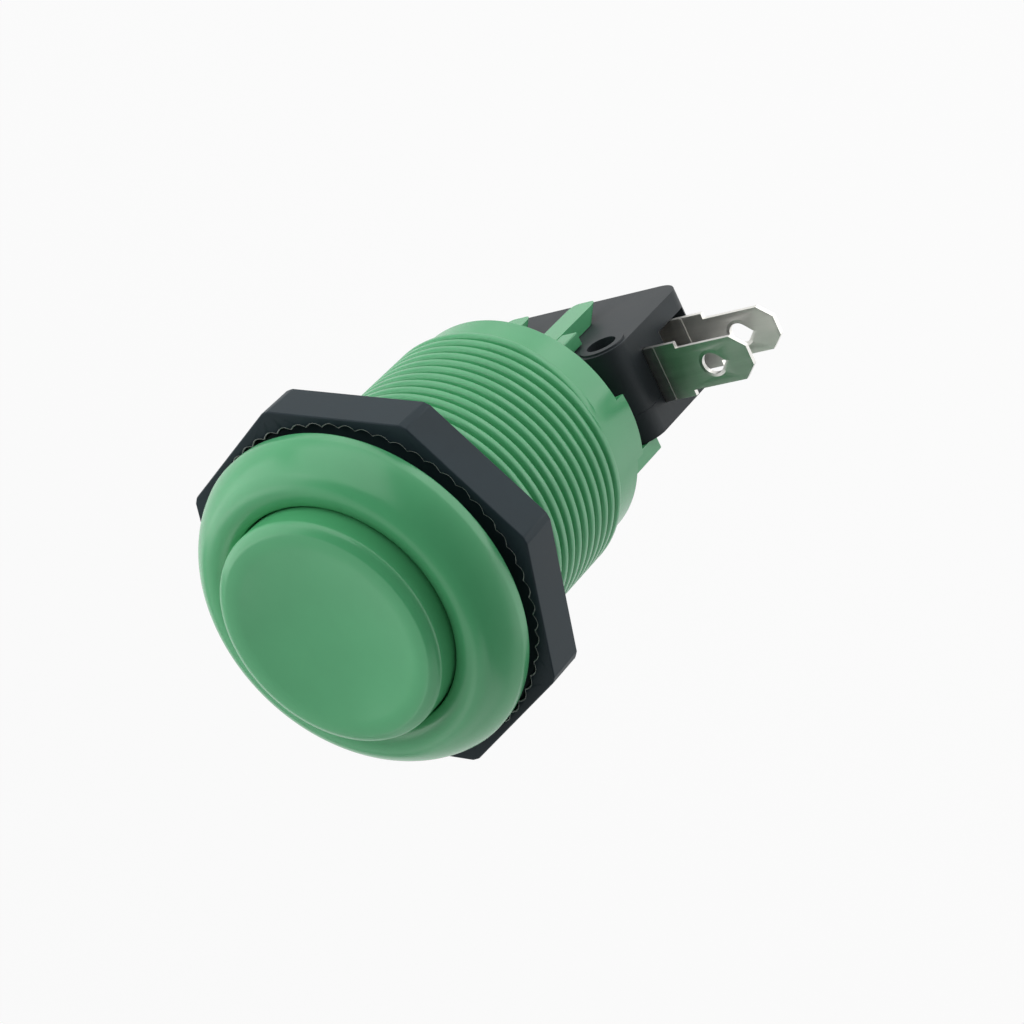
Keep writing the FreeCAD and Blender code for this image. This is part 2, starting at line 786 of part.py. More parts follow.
def make_contacts():
    """Silver contacts: one on each side terminal and one through the snap blade."""
    nodes["normally_closed_contact"] = rivet(
        "closed", closed_face, closed_level + half_strip,
        [(d.contact_radius, closed_face, d.contact_height)],
    )
    nodes["normally_open_contact"] = rivet(
        "open", seat_of_open - d.strip_thickness, seat_of_open + d.contact_height,
        [(d.contact_radius, seat_of_open, d.contact_height)],
    )
    low = blade_bottom - d.head_height
    nodes["moving_contact"] = rivet(
        "moving", low, blade_top + d.head_height,
        [(d.head_radius, level, d.head_height) for level in (low, blade_top)],
    )


def make_snap_blade():
    """Spring blade with a slit tongue, from the pivot to the moving contact."""
    levels = (blade_bottom, blade_top)
    end = d.contact_place + d.head_radius
    strip = box("blade_strip", (-d.pivot_place, end), either_side(d.blade_width / 2), levels)
    tongue = (d.tongue_start - d.pivot_place, d.tongue_end)
    slit = (d.tongue_half, d.tongue_half + d.tongue_slit)
    cuts = (
        box("tongue_slit_upper", tongue, slit, levels),
        box("tongue_slit_lower", tongue, (-slit[1], -slit[0]), levels),
        rod("blade_hole", d.shank_radius, (d.contact_place, 0, blade_bottom), d.blade_thickness),
    )
    nodes["snap_blade"] = cut("blade_cut", strip, *cuts)


def write_parts():
    """Checks every feature, then writes one file for each piece."""
    doc.recompute()
    for feature in doc.Objects:
        if "Invalid" in feature.State or "Error" in feature.State:
            raise RuntimeError(f"{feature.Name} did not build: {feature.State}")
    os.makedirs("parts", exist_ok=True)
    for node, feature in nodes.items():
        feature.Label = node
        shape = feature.Shape
        if shape.isNull() or not shape.isValid() or not shape.Solids:
            raise RuntimeError(f"{node} has no valid solid")
        shape.exportStep(f"parts/{node}.step")
        print(node, len(shape.Solids), round(shape.Volume, 3))


make_button_body()
make_plunger()
make_return_spring()
make_panel_nut()
make_switch_case()
make_switch_cover()
make_switch_pin()
make_terminals()
make_contacts()
make_snap_blade()
write_parts()
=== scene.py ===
"""Looks of a panel-mounted push button, modelled around its solids."""

import math

import bmesh
import bpy
from bmesh.types import BMEdge, BMVert
from bpy.props import FloatProperty, FloatVectorProperty, IntProperty, PointerProperty
from bpy.types import Operator, Panel, PropertyGroup
from mathutils import Matrix, Vector


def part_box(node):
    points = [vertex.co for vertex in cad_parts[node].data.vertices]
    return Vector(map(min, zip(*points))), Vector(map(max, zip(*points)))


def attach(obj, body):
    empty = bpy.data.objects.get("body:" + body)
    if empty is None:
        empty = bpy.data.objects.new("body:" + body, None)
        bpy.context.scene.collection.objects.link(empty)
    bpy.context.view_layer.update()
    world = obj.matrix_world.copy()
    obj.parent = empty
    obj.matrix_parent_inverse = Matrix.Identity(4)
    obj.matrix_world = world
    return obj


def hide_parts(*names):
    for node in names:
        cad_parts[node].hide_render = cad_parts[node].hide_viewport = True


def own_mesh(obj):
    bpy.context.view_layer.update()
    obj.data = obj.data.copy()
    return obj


bl_info = {
    "name": "Push Button",
    "version": (1, 0, 0),
    "blender": (4, 5, 0),
    "location": "View3D > Sidebar > Push Button",
    "description": "Models the moulded, threaded and plated pieces of a panel-mounted push button",
    "category": "Object",
}

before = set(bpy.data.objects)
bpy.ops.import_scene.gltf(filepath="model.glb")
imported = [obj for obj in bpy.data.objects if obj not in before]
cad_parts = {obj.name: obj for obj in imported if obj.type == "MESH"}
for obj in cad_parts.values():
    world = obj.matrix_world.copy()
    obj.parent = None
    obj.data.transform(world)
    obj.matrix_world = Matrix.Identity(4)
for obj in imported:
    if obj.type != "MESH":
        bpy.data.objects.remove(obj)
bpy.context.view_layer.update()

MM = 0.001
MERGE = 1e-6
FULL_TURN = 2 * math.pi
FLATS = 8

# Angles between faces
SHARP = math.radians(38)
CORNER = math.radians(20)
CRISP = math.radians(10)
FLAT = math.radians(0.3)

# Steps along curves
ROUND_STEPS = 192
ROLL_STEPS = 28
SLOPE_STEPS = 12
DISH_STEPS = 40
EASE_STEPS = 12
CROWN_STEPS = 24
EDGE_STEPS = 8
HOLE_STEPS = 48
RIB_STEPS = 12
EYE_STEPS = 36

# Viewpoint, and where the lamps point
CAMERA_PLACE = Vector((0.20012, 0.09816, 0.21076))
CAMERA_RIGHT = Vector((0.77418, -0.41775, -0.47553))
CAMERA_UP = Vector((0.15072, 0.85133, -0.50251))
LAMP_AIM = Vector((0.0, 0.0, -0.015))

# Corners of the solids
BODY_LOW, BODY_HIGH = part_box("button_body")
PLUNGER_LOW, PLUNGER_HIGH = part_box("plunger")
NUT_LOW, NUT_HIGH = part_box("panel_nut")
CASE_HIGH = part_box("switch_case")[1]
COVER_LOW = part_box("switch_cover")[0]
SPRING_LOW, SPRING_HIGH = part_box("return_spring")
CLOSED_LOW, CLOSED_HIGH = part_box("normally_closed_terminal")
OPEN_LOW, OPEN_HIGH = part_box("normally_open_terminal")


# Properties

def length(label, note, metres):
    """A size that a user can change."""
    return FloatProperty(
        name=label, description=note, default=metres, unit="LENGTH", subtype="DISTANCE", precision=5
    )


def amount(label, note, value):
    """A plain value that a user can change."""
    return FloatProperty(name=label, description=note, default=value)


def tally(label, note, value):
    """A whole number that a user can change."""
    return IntProperty(name=label, description=note, default=value, min=1)


def watts(label, note, value):
    """A lamp's power that a user can change."""
    return FloatProperty(name=label, description=note, default=value, unit="POWER")


def colour(label, note, linear):
    """A linear colour that a user can change."""
    return FloatVectorProperty(
        name=label, description=note, default=linear, size=3, min=0.0, max=1.0, subtype="COLOR"
    )


class MouldingSizes(PropertyGroup):
    """Bezel, barrel and floor of the green moulding."""

    bezel_radius: length("Bezel radius", "Outer radius of the bezel's rim", BODY_HIGH.x)
    rim_height: length("Rim height", "Height of the upright rim above the panel", 1.1 * MM)
    rim_edge: length("Rim edge", "Rounding of the rim's lower edge", 0.3 * MM)
    slope_width: length("Slope width", "From the rim in to the shoulder", 1.84 * MM)
    slope_rise: length("Slope rise", "Bulge of the slope above a straight line", 0.22 * MM)
    shoulder_height: length("Shoulder height", "Height of the shoulder above the panel", 3.96 * MM)
    roll_rise: length("Roll rise", "Bulge of the roll around the plunger", 0.68 * MM)
    lip_height: length("Lip height", "Height of the lip around the plunger", 4.17 * MM)
    lip_round: length("Lip round", "Rounding of the lip", 0.2 * MM)
    plunger_gap: length("Plunger gap", "Gap between the lip and the plunger", 0.16 * MM)
    root_radius: length("Root radius", "Radius of the barrel between its threads", 13.2 * MM)
    thread_end: length("Thread end", "Depth at which the thread ends", 27.25 * MM)
    barrel_length: length("Barrel length", "Depth of the barrel's rear edge", 30.64 * MM)
    collar_radius: length("Collar radius", "Radius of the smooth collar", 13.13 * MM)
    collar_round: length("Collar round", "Rounding of the collar's rear edge", 0.18 * MM)
    collar_wall: length("Collar wall", "Wall of the barrel's lower part", 1.7 * MM)
    floor_thickness: length("Floor thickness", "Thickness of the rear floor", 2.0 * MM)
    stop_depth: length("Stop depth", "Depth of the shoulder that stops the plunger", 12.2 * MM)
    stem_hole: length("Stem hole", "Radius of the hole for the plunger's stem", 2.9 * MM)
    slot_half_width: length("Slot half width", "Half the width of a leg slot", 2.0 * MM)
    slot_inner: length("Slot inner", "Leg slot, side nearer the axis", 9.12 * MM)
    slot_outer: length("Slot outer", "Leg slot, side nearer the wall", 11.22 * MM)


class ThreadSizes(PropertyGroup):
    """The helical thread on the barrel."""

    crest_radius: length("Crest radius", "Radius over the thread's crests", 13.88 * MM)
    pitch: length("Pitch", "From one crest to the next", 1.38 * MM)
    crest_half: length("Crest half width", "Half the width of the crest", 0.42 * MM)
    foot_half: length("Foot half width", "Half the width of the thread's foot", 0.68 * MM)
    crest_round: length("Crest round", "Rounding of the crest", 0.26 * MM)
    first_crest: length("First crest", "Depth of the first crest", 3.02 * MM)
    sink: length("Sink", "How far the thread's foot lies inside the barrel", 0.15 * MM)
    turns: tally("Turns", "Turns of the thread", 17)
    steps: tally("Steps", "Steps in each turn", 120)
    run_out: tally("Run-out", "Steps over which each end fades", 18)


class CradleSizes(PropertyGroup):
    """The arms, walls and seats that hold the switch."""

    edge: length("Edge", "Rounding of the cradle's edges", 0.16 * MM)
    sink: length("Sink", "How far each piece reaches into the floor", 1.0 * MM)
    side_gap: length("Side gap", "Between the switch's faces and the arms", 0.05 * MM)
    wall: length("Wall", "Thickness of arms and walls", 1.55 * MM)
    finger_width: length("Finger width", "Width of the two arms", 3.1 * MM)
    finger_lead: length("Finger lead", "How much shorter an arm is on its inner side", 1.9 * MM)
    finger_round: length("Finger round", "Rounding of an arm's tip", 0.75 * MM)
    near_finger: length("Near finger", "Middle of the arm nearer the side blades", 2.75 * MM)
    far_finger: length("Far finger", "Middle of the other arm", -5.75 * MM)
    block_right: length("Block right", "End of the low block beside the near arm", 6.2 * MM)
    block_reach: length("Block reach", "Reach of the low block behind the floor", 7.6 * MM)
    wall_right: length("Wall right", "End of the long wall", 11.0 * MM)
    wall_reach: length("Wall reach", "Reach of the long wall behind the floor", 5.9 * MM)
    seat_inner: length("Seat inner", "Inner end of a seat", 4.5 * MM)
    seat_outer: length("Seat outer", "Outer end of a seat", 8.3 * MM)
    seat_half: length("Seat half width", "Half the width of a seat", 4.6 * MM)
    rib_thickness: length("Rib thickness", "Thickness of the rib on the collar's edge", 0.93 * MM)
    rib_height: length("Rib height", "Height of the rib", 1.15 * MM)
    rib_top: length("Rib top", "Upper end of the rib", 1.65 * MM)
    rib_bottom: length("Rib bottom", "Lower end of the rib", -5.0 * MM)


class PlungerSizes(PropertyGroup):
    """The pressed piece with its concave cap."""

    radius: length("Radius", "Radius of the cap and skirt", PLUNGER_HIGH.x)
    ease: length("Ease", "Reach of the rounding between the dish and its rim", 0.8 * MM)
    ease_rise: length("Ease rise", "Bulge of the rounding between the dish and its rim", 0.072 * MM)
    rim_width: length("Rim width", "From the dish's edge out to the wall", 1.8 * MM)
    crown_fall: length("Crown fall", "Fall of the rounded rim to its edge", 0.52 * MM)
    crown_rise: length("Crown rise", "Bulge of the rounded rim", 0.133 * MM)
    edge_width: length("Edge width", "Width of the rim's rounded edge", 0.24 * MM)
    edge_fall: length("Edge fall", "Fall of the rounded edge to the wall", 0.48 * MM)
    edge_rise: length("Edge rise", "Bulge of the rounded edge", 0.063 * MM)
    dish_depth: length("Dish depth", "Depth of the concave cap", 1.0 * MM)
    cap_thickness: length("Cap thickness", "Thickness of the cap at its middle", 2.2 * MM)
    skirt_wall: length("Skirt wall", "Wall of the skirt", 1.5 * MM)
    skirt_reach: length("Skirt reach", "Depth of the skirt's end", 9.0 * MM)
    stem_radius: length("Stem radius", "Radius of the stem", 2.6 * MM)
    stem_end: length("Stem end", "Depth of the stem's end", 30.35 * MM)
    leg_half_width: length("Leg half width", "Half the width of a leg", 1.75 * MM)
    leg_thickness: length("Leg thickness", "Thickness of a leg", 1.6 * MM)
    leg_outer: length("Leg outer", "Outer face of a leg from the axis", 10.97 * MM)
    leg_root: length("Leg root", "How far a leg reaches up into the skirt", 3.0 * MM)
    hook_reach: length("Hook reach", "How far a hook reaches inwards", 1.2 * MM)
    hook_height: length("Hook height", "Height of a hook", 1.5 * MM)
    edge: length("Edge", "Rounding of the legs' edges", 0.15 * MM)


class SpringSizes(PropertyGroup):
    """The return spring around the stem."""

    wire_radius: length("Wire radius", "Radius of the wire", 0.4 * MM)
    coil_radius: length("Coil radius", "Radius of the coil at the wire's middle", 4.6 * MM)
    turns: amount("Turns", "Turns of the coil", 9.0)
    steps: tally("Steps", "Steps in each turn", 36)
    sides: tally("Sides", "Sides of the wire", 12)
    travel: length("Travel", "How far the spring is pressed together", 3.0 * MM)


class NutSizes(PropertyGroup):
    """The octagonal panel nut."""

    across_flats: length("Across flats", "Distance between opposite flats", 36.6 * MM)
    turn: FloatProperty(
        name="Turn", description="Angle of the first corner", default=math.radians(5.8), subtype="ANGLE"
    )
    corner: length("Corner", "How far each corner is cut back along its flats", 0.4 * MM)
    edge: length("Edge", "Rounding of the nut's edges", 0.15 * MM)
    bore_radius: length("Bore radius", "Radius of the bore", 14.0 * MM)
    recess_radius: length("Recess radius", "Radius of the recess in the front face", 17.25 * MM)
    recess_depth: length("Recess depth", "Depth of the recess", 1.0 * MM)
    scallop_depth: length("Scallop depth", "Depth of the scallops in the recess's wall", 0.4 * MM)
    scallops: tally("Scallops", "Scallops around the recess", 60)
    scallop_steps: tally("Scallop steps", "Steps across one scallop", 6)
    scallop_edge: length("Scallop edge", "Rounding of the scallops' front edge", 0.18 * MM)


class SwitchSizes(PropertyGroup):
    """The switch's housing and blades."""

    case_edge: length("Case edge", "Rounding of the housing's edges", 0.16 * MM)
    strip_edge: length("Strip edge", "Rounding of the blades' edges", 0.05 * MM)
    strip: length("Strip", "Thickness of the blades", 0.5 * MM)
    shoulder_half: length("Shoulder half width", "Half the width of a blade at the case", 3.0 * MM)
    shoulder_reach: length("Shoulder reach", "From the case to the end of a shoulder", 3.75 * MM)
    tab_half: length("Tab half width", "Half the width of a tab", 2.375 * MM)
    tip_half: length("Tip half width", "Half the width of a tab's end", 1.05 * MM)
    tip_length: length("Tip length", "Length of a tab's cut corners", 1.45 * MM)
    eye_radius: length("Eye radius", "Radius of a tab's eye", 1.15 * MM)
    eye_from_tip: length("Eye from tip", "From the middle of the eye to the tab's end", 4.45 * MM)
    coin_width: length("Coin width", "Width of the pressed border of a tab", 0.36 * MM)
    coin_depth: length("Coin depth", "Depth of the pressed border at the tip", 0.07 * MM)
    crease: length("Crease", "From the case to the crease across a blade", 1.35 * MM)
    crease_height: length("Crease height", "Height of the crease", 0.05 * MM)


class Finishes(PropertyGroup):
    """Colours of the materials."""

    green: colour("Green", "Moulded body and plunger", (0.092, 0.43, 0.187))
    nut: colour("Nut", "Panel nut", (0.022, 0.036, 0.044))
    scallop_highlight: colour("Scallop Highlight", "Painted highlight on the nut's scallop edges", (0.55, 0.58, 0.56))
    # Painted highlight: a pale grey painted on the nut's scallop edges for the light they catch.
    housing: colour("Housing", "Switch case and cover", (0.025, 0.032, 0.036))
    plate: colour("Plate", "Tinned blades", (0.57, 0.565, 0.54))
    # Painted light: the far blade's tin is a lighter copy of the plate's colour, for the light that blade
    # catches.
    plate_painted_lighter: colour("Plate Painted Lighter", "Rougher tinned blade with a tint painted lighter", (0.8, 0.795, 0.75))
    steel: colour("Steel", "Spring and snap blade", (0.56, 0.56, 0.55))
    silver: colour("Silver", "Contacts", (0.86, 0.85, 0.83))
    floor: colour("Floor", "Floor under the object", (0.9, 0.9, 0.9))


class StageSettings(PropertyGroup):
    """Camera, floor and lamps."""

    lens: amount("Lens", "Focal length in millimetres", 115.4)
    floor_level: length("Floor level", "Height of the floor", -0.45)
    floor_reach: length("Floor reach", "From the middle of the floor to its edge", 30.0)
    floor_white: amount("Floor white", "Share of white in the floor as seen", 0.94)
    low_light: amount("Low light", "Surrounding light near the floor", 0.45)
    high_light: amount("High light", "Surrounding light overhead", 0.08)
    left_power: watts("Left power", "Lamp on the left", 0.9)
    upper_power: watts("Upper power", "Lamp above", 0.86)
    rear_power: watts("Rear power", "Lamp behind", 0.32)
    back_power: watts("Back power", "Lamp behind the blades", 0.6)
    right_power: watts("Right power", "Lamp on the right", 0.38)
    low_power: watts("Low power", "Lamp below", 0.46)
    front_power: watts("Front power", "Lamp before the cap", 0.36)
    lamp_size: length("Lamp size", "Width of the square lamps", 0.42)


# Shader node groups and materials

SURFACE = ("Tone", "Roughness", "Height")
TONE_RANGE = (0.3, 0.7)
LIGHT_RANGE = (0.05, 0.6)


def new_group(name, inputs, outputs):
    """An empty shader node group with named values, and the sockets of what it is given."""
    tree = bpy.data.node_groups.new(name, "ShaderNodeTree")
    for label, default in inputs.items():
        socket = tree.interface.new_socket(name=label, in_out="INPUT", socket_type="NodeSocketFloat")
        socket.default_value = default
    for label in outputs:
        tree.interface.new_socket(name=label, in_out="OUTPUT", socket_type="NodeSocketFloat")
    return tree, tree.nodes.new("NodeGroupInput").outputs


def set_inputs(node, *values, **named):
    """Sets or links inputs, in order or by name. A name's underscores stand for spaces."""
    pairs = [(node.inputs[place], value) for place, value in enumerate(values)]
    pairs += [(node.inputs[name.replace("_", " ")], value) for name, value in named.items()]
    for socket, value in pairs:
        if isinstance(value, bpy.types.NodeSocket):
            node.id_data.links.new(value, socket)
        else:
            socket.default_value = value


def add_node(tree, kind, *values, settings=None, **named):
    """A node with its settings and its inputs."""
    node = tree.nodes.new(kind)
    for name, value in (settings or {}).items():
        setattr(node, name, value)
    set_inputs(node, *values, **named)
    return node


def maths(tree, operation, *values):
    """The result of a sum on numbers and sockets."""
    return add_node(tree, "ShaderNodeMath", *values, settings={"operation": operation}).outputs["Value"]


def noise(tree, place, scale, detail, roughness):
    """Cloudy values around a half."""
    node = add_node(tree, "ShaderNodeTexNoise", Vector=place, Scale=scale)
    set_inputs(node, Detail=detail, Roughness=roughness)
    return node.outputs["Fac"]


def blend(tree, source, positions, tones):
    """A colour that runs from one tone to another between two values of a socket."""
    ramp = add_node(tree, "ShaderNodeValToRGB", source)
    for element, position, tone in zip(ramp.color_ramp.elements, positions, tones):
        element.position = position
        element.color = (*tone, 1.0)
    return ramp.outputs["Color"]


def moulded_surface():
    """Cloudy colour, uneven gloss and fine grain, as on moulded plastic."""
    name = "Moulded Surface"
    if name in bpy.data.node_groups:
        return bpy.data.node_groups[name]
    inputs = {"Cloud Scale": 60.0, "Grain Scale": 4000.0, "Roughness": 0.4, "Spread": 0.1}
    tree, given = new_group(name, inputs, SURFACE)
    place = add_node(tree, "ShaderNodeTexCoord").outputs["Object"]
    cloud = noise(tree, place, given["Cloud Scale"], 4.0, 0.6)
    grain = noise(tree, place, given["Grain Scale"], 3.0, 0.55)
    uneven = maths(tree, "SUBTRACT", cloud, 0.5)
    gloss = maths(tree, "MULTIPLY_ADD", uneven, given["Spread"], given["Roughness"])
    add_node(tree, "NodeGroupOutput", cloud, gloss, grain)
    return tree


def rolled_strip():
    """Streaks along the strip and specks, as on rolled and plated metal."""
    name = "Rolled Strip"
    if name in bpy.data.node_groups:
        return bpy.data.node_groups[name]
    tree, given = new_group(name, {"Streak Scale": 900.0, "Roughness": 0.15, "Spread": 0.15}, SURFACE)
    place = add_node(tree, "ShaderNodeTexCoord").outputs["Object"]
    stretched = add_node(tree, "ShaderNodeMapping", Vector=place, Scale=(0.06, 1.0, 1.0)).outputs["Vector"]
    streak = noise(tree, stretched, given["Streak Scale"], 5.0, 0.65)
    speck = noise(tree, place, 1500.0, 4.0, 0.6)
    mixed = maths(tree, "MULTIPLY", streak, speck)
    gloss = maths(tree, "MULTIPLY_ADD", mixed, given["Spread"], given["Roughness"])
    add_node(tree, "NodeGroupOutput", streak, gloss, mixed)
    return tree


# The band this masks carries the nut's painted edge highlight.
def highlight_band():
    """A mask of a narrow band of height, within a radius."""
    name = "Worn Edge"
    if name in bpy.data.node_groups:
        return bpy.data.node_groups[name]
    tree, given = new_group(name, {"Radius": 0.0, "Level": 0.0, "Half Height": 0.0}, ("Mask",))
    place = add_node(tree, "ShaderNodeTexCoord").outputs["Object"]
    split = add_node(tree, "ShaderNodeSeparateXYZ", place).outputs
    flat = add_node(tree, "ShaderNodeCombineXYZ", split["X"], split["Y"]).outputs["Vector"]
    radius = add_node(tree, "ShaderNodeVectorMath", flat, settings={"operation": "LENGTH"}).outputs["Value"]
    within = maths(tree, "LESS_THAN", radius, given["Radius"])
    band = maths(tree, "COMPARE", split["Z"], given["Level"], given["Half Height"])
    add_node(tree, "NodeGroupOutput", maths(tree, "MULTIPLY", within, band))
    return tree


def new_material(name, group, values, tint, spread, bump, **sockets):
    """A material with a group's gloss and relief, its tint darker and lighter by the group's tone."""
    material = bpy.data.materials.new(name)
    material.use_nodes = True
    tree = material.node_tree
    surface = add_node(tree, "ShaderNodeGroup", settings={"node_tree": group}, **values).outputs
    tones = [[channel * factor for channel in tint] for factor in (1 - spread, 1 + spread)]
    relief = add_node(tree, "ShaderNodeBump", Strength=bump[0], Distance=bump[1], Height=surface["Height"])
    set_inputs(
        tree.nodes["Principled BSDF"], Base_Color=blend(tree, surface["Tone"], TONE_RANGE, tones),
        Roughness=surface["Roughness"], Normal=relief.outputs["Normal"], **sockets,
    )
    return material


def scallop_reach(sizes):
    """A radius just outside the nut's scallops."""
    return sizes.recess_radius + 2 * sizes.scallop_depth


def paint_scallop_highlight(context, material):
    """Paints a highlight on the rounded front edge of the nut's scallops: a pale band that stands in for
    the light this edge catches.
    """
    sizes = context.scene.button_nut
    tree = material.node_tree
    base = tree.nodes["Principled BSDF"].inputs["Base Color"]
    highlight = add_node(
        tree, "ShaderNodeGroup", settings={"node_tree": highlight_band()}, Radius=scallop_reach(sizes),
        Level=NUT_HIGH.z - sizes.scallop_edge / 2, Half_Height=0.4 * sizes.scallop_edge,
    )
    mix = add_node(tree, "ShaderNodeMix", highlight.outputs["Mask"], settings={"data_type": "RGBA"})
    plain, scallop_highlight = [socket for socket in mix.inputs if socket.type == "RGBA"]
    scallop_highlight.default_value = (*context.scene.button_finishes.scallop_highlight, 1.0)
    blended = [socket for socket in mix.outputs if socket.type == "RGBA"][0]
    tree.links.new(base.links[0].from_socket, plain)
    tree.links.new(blended, base)


def finish(context, name):
    """The material of that name, made when it is first asked for."""
    if name in bpy.data.materials:
        return bpy.data.materials[name]
    tints = context.scene.button_finishes
    # Tint, its spread, bump strength and distance, scales of cloud and grain, roughness, its spread and
    # specular level
    plastics = {
        "cloudy_green": (tints.green, 0.05, (0.08, 0.00002), 90.0, 6000.0, 0.24, 0.1, 0.5),
        "matt_black": (tints.nut, 0.12, (0.12, 0.00003), 140.0, 5000.0, 0.42, 0.15, 0.14),
        "housing_plastic": (tints.housing, 0.12, (0.15, 0.00003), 160.0, 4500.0, 0.45, 0.15, 0.2),
    }
    # Tint, its spread, bump strength and distance, and the strip's values
    metals = {
        "plated_metal": (tints.plate, 0.08, (0.12, 0.00002), {"Roughness": 0.26, "Spread": 0.3}),
        # The far blade's copy of the plate is rougher, and its lighter tint is painted light.
        "satin_plate_painted_lighter": (tints.plate_painted_lighter, 0.06, (0.12, 0.00002), {"Roughness": 0.34, "Spread": 0.3}),
        "drawn_steel": (tints.steel, 0.1, (0.1, 0.00002), {"Roughness": 0.2}),
        "bright_silver": (tints.silver, 0.05, (0.05, 0.00001), {"Roughness": 0.12}),
    }
    if name in metals:
        tint, spread, bump, values = metals[name]
        return new_material(name, rolled_strip(), values, tint, spread, bump, Metallic=1.0)
    tint, spread, bump, cloud, grain, roughness, uneven, level = plastics[name]
    values = {"Cloud_Scale": cloud, "Grain_Scale": grain, "Roughness": roughness, "Spread": uneven}
    material = new_material(name, moulded_surface(), values, tint, spread, bump, Specular_IOR_Level=level)
    # The nut's material gets a painted highlight on the front edge of its scallops.
    if name == "matt_black":
        paint_scallop_highlight(context, material)
    return material


# Modelling helpers

def arc(start, end, rise, steps):
    """Points after the start of an arc that bulges to the left of the way from start to end."""
    across = Vector(end) - Vector(start)
    chord = across.length
    radius = (chord * chord / 4 + rise * rise) / (2 * rise)
    half = math.asin(min(1.0, chord / (2 * radius)))
    side = Vector((-across.y, across.x)) / chord
    centre = (Vector(start) + Vector(end)) / 2 + side * (rise - radius)
    points = []
    for step in range(1, steps + 1):
        angle = half - 2 * half * step / steps
        points.append(centre + side * radius * math.cos(angle) - across / chord * radius * math.sin(angle))
    return points


def add_loop(bm, points, closed=True):
    """Vertices joined by edges, in order."""
    verts = [bm.verts.new(point) for point in points]
    pairs = list(zip(verts, verts[1:]))
    if closed:
        pairs.append((verts[-1], verts[0]))
    return verts, [bm.edges.new(pair) for pair in pairs]


def round_corners(bm, verts, radius, segments=4):
    """Rounds the corners of an outline before it is spun or extruded."""
    bmesh.ops.bevel(
        bm, geom=verts, offset=radius, offset_type="OFFSET", segments=segments, profile=0.5,
        affect="VERTICES", clamp_overlap=True, material=-1,
    )


def only(items, kind):
    """The items of one kind among mixed geometry."""
    return [item for item in items if isinstance(item, kind)]


def spin(bm, geom, angle, steps, rise=0.0, merge=False):
    """Spins an outline about the button's axis, rising at each step, and returns its last place."""
    return bmesh.ops.spin(
        bm, geom=geom, cent=(0, 0, 0), axis=(0, 0, 1), dvec=(0, 0, rise), angle=angle, steps=steps,
        use_merge=merge,
    )["geom_last"]


def sweep(bm, verts, edges, angle, steps, rise=0.0):
    """Spins a closed outline and closes both of its ends."""
    last = spin(bm, verts + edges, angle, steps, rise)
    for ends in (edges, only(last, BMEdge)):
        bmesh.ops.contextual_create(bm, geom=ends)


def soften(bm, edges, width, segments=2):
    """Rounds edges."""
    bmesh.ops.bevel(
        bm, geom=edges, offset=width, offset_type="OFFSET", segments=segments, profile=0.5, affect="EDGES",
        clamp_overlap=True, material=-1,
    )


def folded_edges(bm, angle=SHARP):
    """The edges whose faces meet at a sharp angle."""
    return [edge for edge in bm.edges if edge.is_manifold and edge.calc_face_angle() > angle]


def add_block(bm, x, y, z, edge):
    """A block between pairs of limits, with rounded edges."""
    spans = [Vector(limits) for limits in (x, y, z)]
    middle = Vector([(span[0] + span[1]) / 2 for span in spans])
    scale = Matrix.Diagonal([*(span[1] - span[0] for span in spans), 1.0])
    made = bmesh.ops.create_cube(bm, size=1.0, matrix=Matrix.Translation(middle) @ scale)
    edges = list({item for vert in made["verts"] for item in vert.link_edges})
    soften(bm, edges, edge)


def raise_wall(bm, edges, height):
    """Extrudes an outline upwards and returns the edges of its upper end."""
    made = bmesh.ops.extrude_edge_only(bm, edges=edges)["geom"]
    upper = only(made, BMVert)
    bmesh.ops.translate(bm, verts=upper, vec=(0, 0, height))
    return [edge for edge in only(made, BMEdge) if set(edge.verts) <= set(upper)]


def fill(bm, edges):
    """Fills a flat outline, leaving the outlines inside it as holes."""
    bmesh.ops.triangle_fill(bm, use_beauty=True, use_dissolve=False, edges=edges)


def circle_points(radius, level, count, turn=0.0):
    """Points around the button's axis."""
    angles = [turn + FULL_TURN * step / count for step in range(count)]
    return [(radius * math.cos(angle), radius * math.sin(angle), level) for angle in angles]


def box_points(x, y, level):
    """The corners of a rectangle at one level."""
    return [(x[0], y[0], level), (x[1], y[0], level), (x[1], y[1], level), (x[0], y[1], level)]


def add_plate(bm, outlines, level, height):
    """A plate between two levels from its outer outline and the outlines of its holes."""
    lower = []
    upper = []
    for points in outlines:
        edges = add_loop(bm, [(point[0], point[1], level) for point in points])[1]
        lower += edges
        upper += raise_wall(bm, edges, height)
    fill(bm, lower)
    fill(bm, upper)


def softened_copy(node, width):
    """A solid's mesh with its flat faces merged and its edges rounded."""
    bm = bmesh.new()
    bm.from_mesh(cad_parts[node].data)
    bmesh.ops.remove_doubles(bm, verts=bm.verts, dist=MERGE)
    bmesh.ops.dissolve_limit(
        bm, angle_limit=FLAT, use_dissolve_boundaries=False, verts=bm.verts, edges=bm.edges, delimit=set(),
    )
    soften(bm, folded_edges(bm), width)
    return bm


def add_piece(context, bm, name, body, slot, look, *nodes, sharp=SHARP):
    """Turns a bmesh into a piece that rides on a body and stands for the named solids."""
    bmesh.ops.remove_doubles(bm, verts=bm.verts, dist=MERGE)
    bmesh.ops.recalc_face_normals(bm, faces=bm.faces)
    for face in bm.faces:
        face.smooth = True
    for edge in folded_edges(bm, sharp):
        edge.smooth = False
    mesh = bpy.data.meshes.new(name)
    bm.to_mesh(mesh)
    bm.free()
    for layer in [layer for layer in mesh.attributes if layer.name == "custom_normal"]:
        mesh.attributes.remove(layer)
    mesh.materials.clear()
    mesh.materials.append(finish(context, look))
    piece = bpy.data.objects.new(name, mesh)
    context.scene.collection.objects.link(piece)
    weighted = piece.modifiers.new("Weighted Normals", "WEIGHTED_NORMAL")
    weighted.keep_sharp = True
    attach(piece, body)
    if nodes:
        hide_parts(*nodes)
    return piece


# Operators

